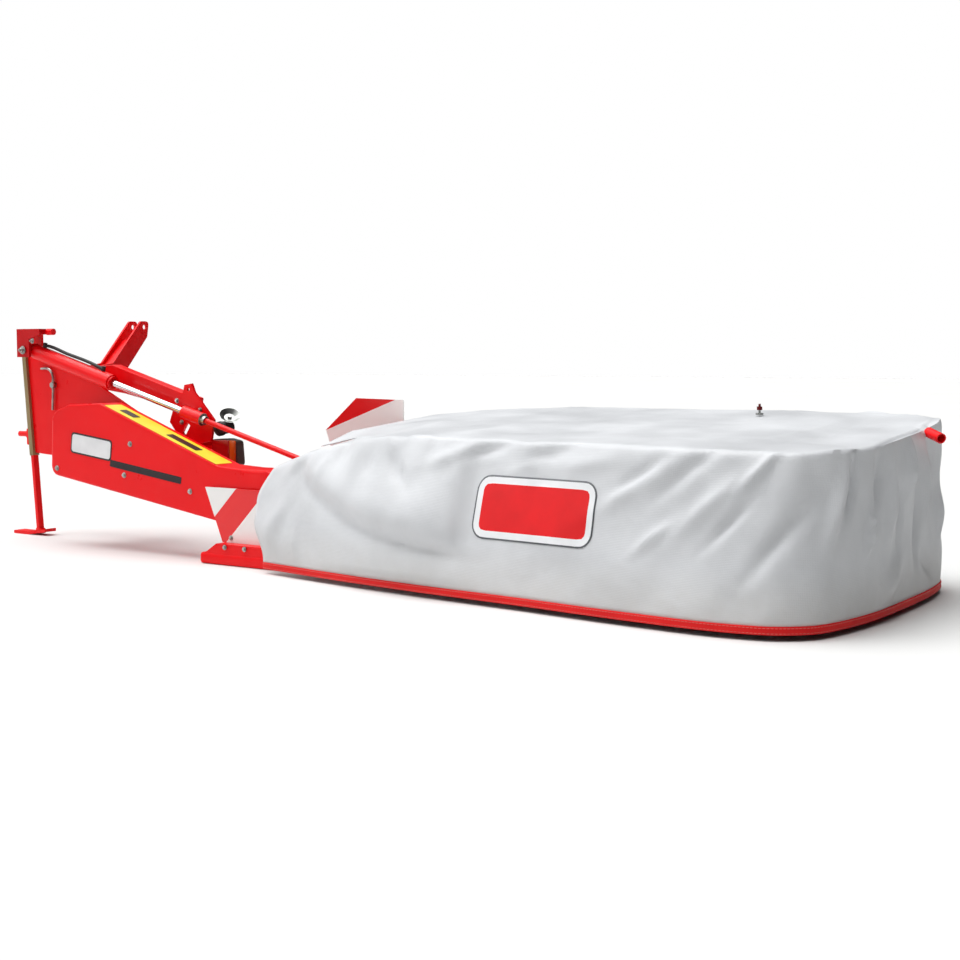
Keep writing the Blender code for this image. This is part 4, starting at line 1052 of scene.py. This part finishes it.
floorMaterial, floorTree, floorShader = newMaterial("matteWhiteFloor", "#DADAD9", 0.9)
tone = drift(floorTree, objectCoords(floorTree), "#D9D9D8", "#DCDCDB", 2.0)[0]
floorTree.links.new(tone, floorShader.inputs["Base Color"])
shape = bmesh.new()
bmesh.ops.create_grid(shape, x_segments=8, y_segments=8, size=60)
mesh = bpy.data.meshes.new("floor")
shape.to_mesh(mesh)
shape.free()
mesh.materials.append(floorMaterial)
floor = bpy.data.objects.new("floor", mesh)
bpy.context.scene.collection.objects.link(floor)
floor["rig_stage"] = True

keyLight = {"at": (-4.2, -4.2, 4.2), "aim": (0.6, 0, 0.3), "size": 2.5, "power": 30}
disk = bpy.data.lights.new("key", "AREA")
disk.shape = "DISK"
disk.size = keyLight["size"]
disk.energy = keyLight["power"]
holder = bpy.data.objects.new("key", disk)
holder.location = place(*keyLight["at"])
holder.rotation_euler = (place(*keyLight["aim"]) - holder.location).to_track_quat("-Z", "Y").to_euler()
bpy.context.scene.collection.objects.link(holder)

roofLight = {"from": (-0.3, -0.05, 0.95), "power": 2.7, "spread": 50}
sun = bpy.data.lights.new("roofLight", "SUN")
sun.energy = roofLight["power"]
sun.angle = radians(roofLight["spread"])
holder = bpy.data.objects.new("roofLight", sun)
holder.rotation_euler = Vector(roofLight["from"]).to_track_quat("Z", "Y").to_euler()
bpy.context.scene.collection.objects.link(holder)

world = bpy.data.worlds.new("studio")
bpy.context.scene.world = world
world.use_nodes = True
sky = world.node_tree
background = sky.nodes["Background"]
skyLight = {"from": (-0.46, -0.18, 0.87), "dark": 0.03, "bright": 1.35}
looking = addNode(sky, "TexCoord").outputs["Generated"]
facing = addNode(sky, "VectorMath", {0: looking, 1: skyLight["from"]}, operation="DOT_PRODUCT")
softbox = addNode(sky, "MapRange", {
    "Value": facing.outputs["Value"], 1: 0.3, 2: 1.0, 3: skyLight["dark"], 4: skyLight["bright"]},
    interpolation_type="SMOOTHSTEP")
sky.links.new(softbox.outputs[0], background.inputs["Strength"])
background.inputs["Color"].default_value = (1, 1, 1, 1)
seen = addNode(sky, "LightPath").outputs["Is Camera Ray"]
white = addNode(sky, "Background", {"Strength": 1.0, "Color": (1, 1, 1, 1)})
blend = addNode(sky, "MixShader", {0: seen, 1: background.outputs[0], 2: white.outputs[0]})
sky.links.new(blend.outputs[0], sky.nodes["World Output"].inputs["Surface"])

view = {"at": (4.34, -5.12, 0.90), "down": 4.69, "turn": 33.9, "lens": 55.7}  # angles in degrees
lens = bpy.data.cameras.new("camera")
lens.lens = view["lens"]
lens.sensor_width = 36
camera = bpy.data.objects.new("camera", lens)
camera.location = place(*view["at"])
camera.rotation_euler = (radians(90 - view["down"]), 0, radians(view["turn"]))
bpy.context.scene.collection.objects.link(camera)
bpy.context.scene.camera = camera
bpy.context.scene.view_settings.view_transform = "Standard"
print("stage set")

low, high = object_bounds()
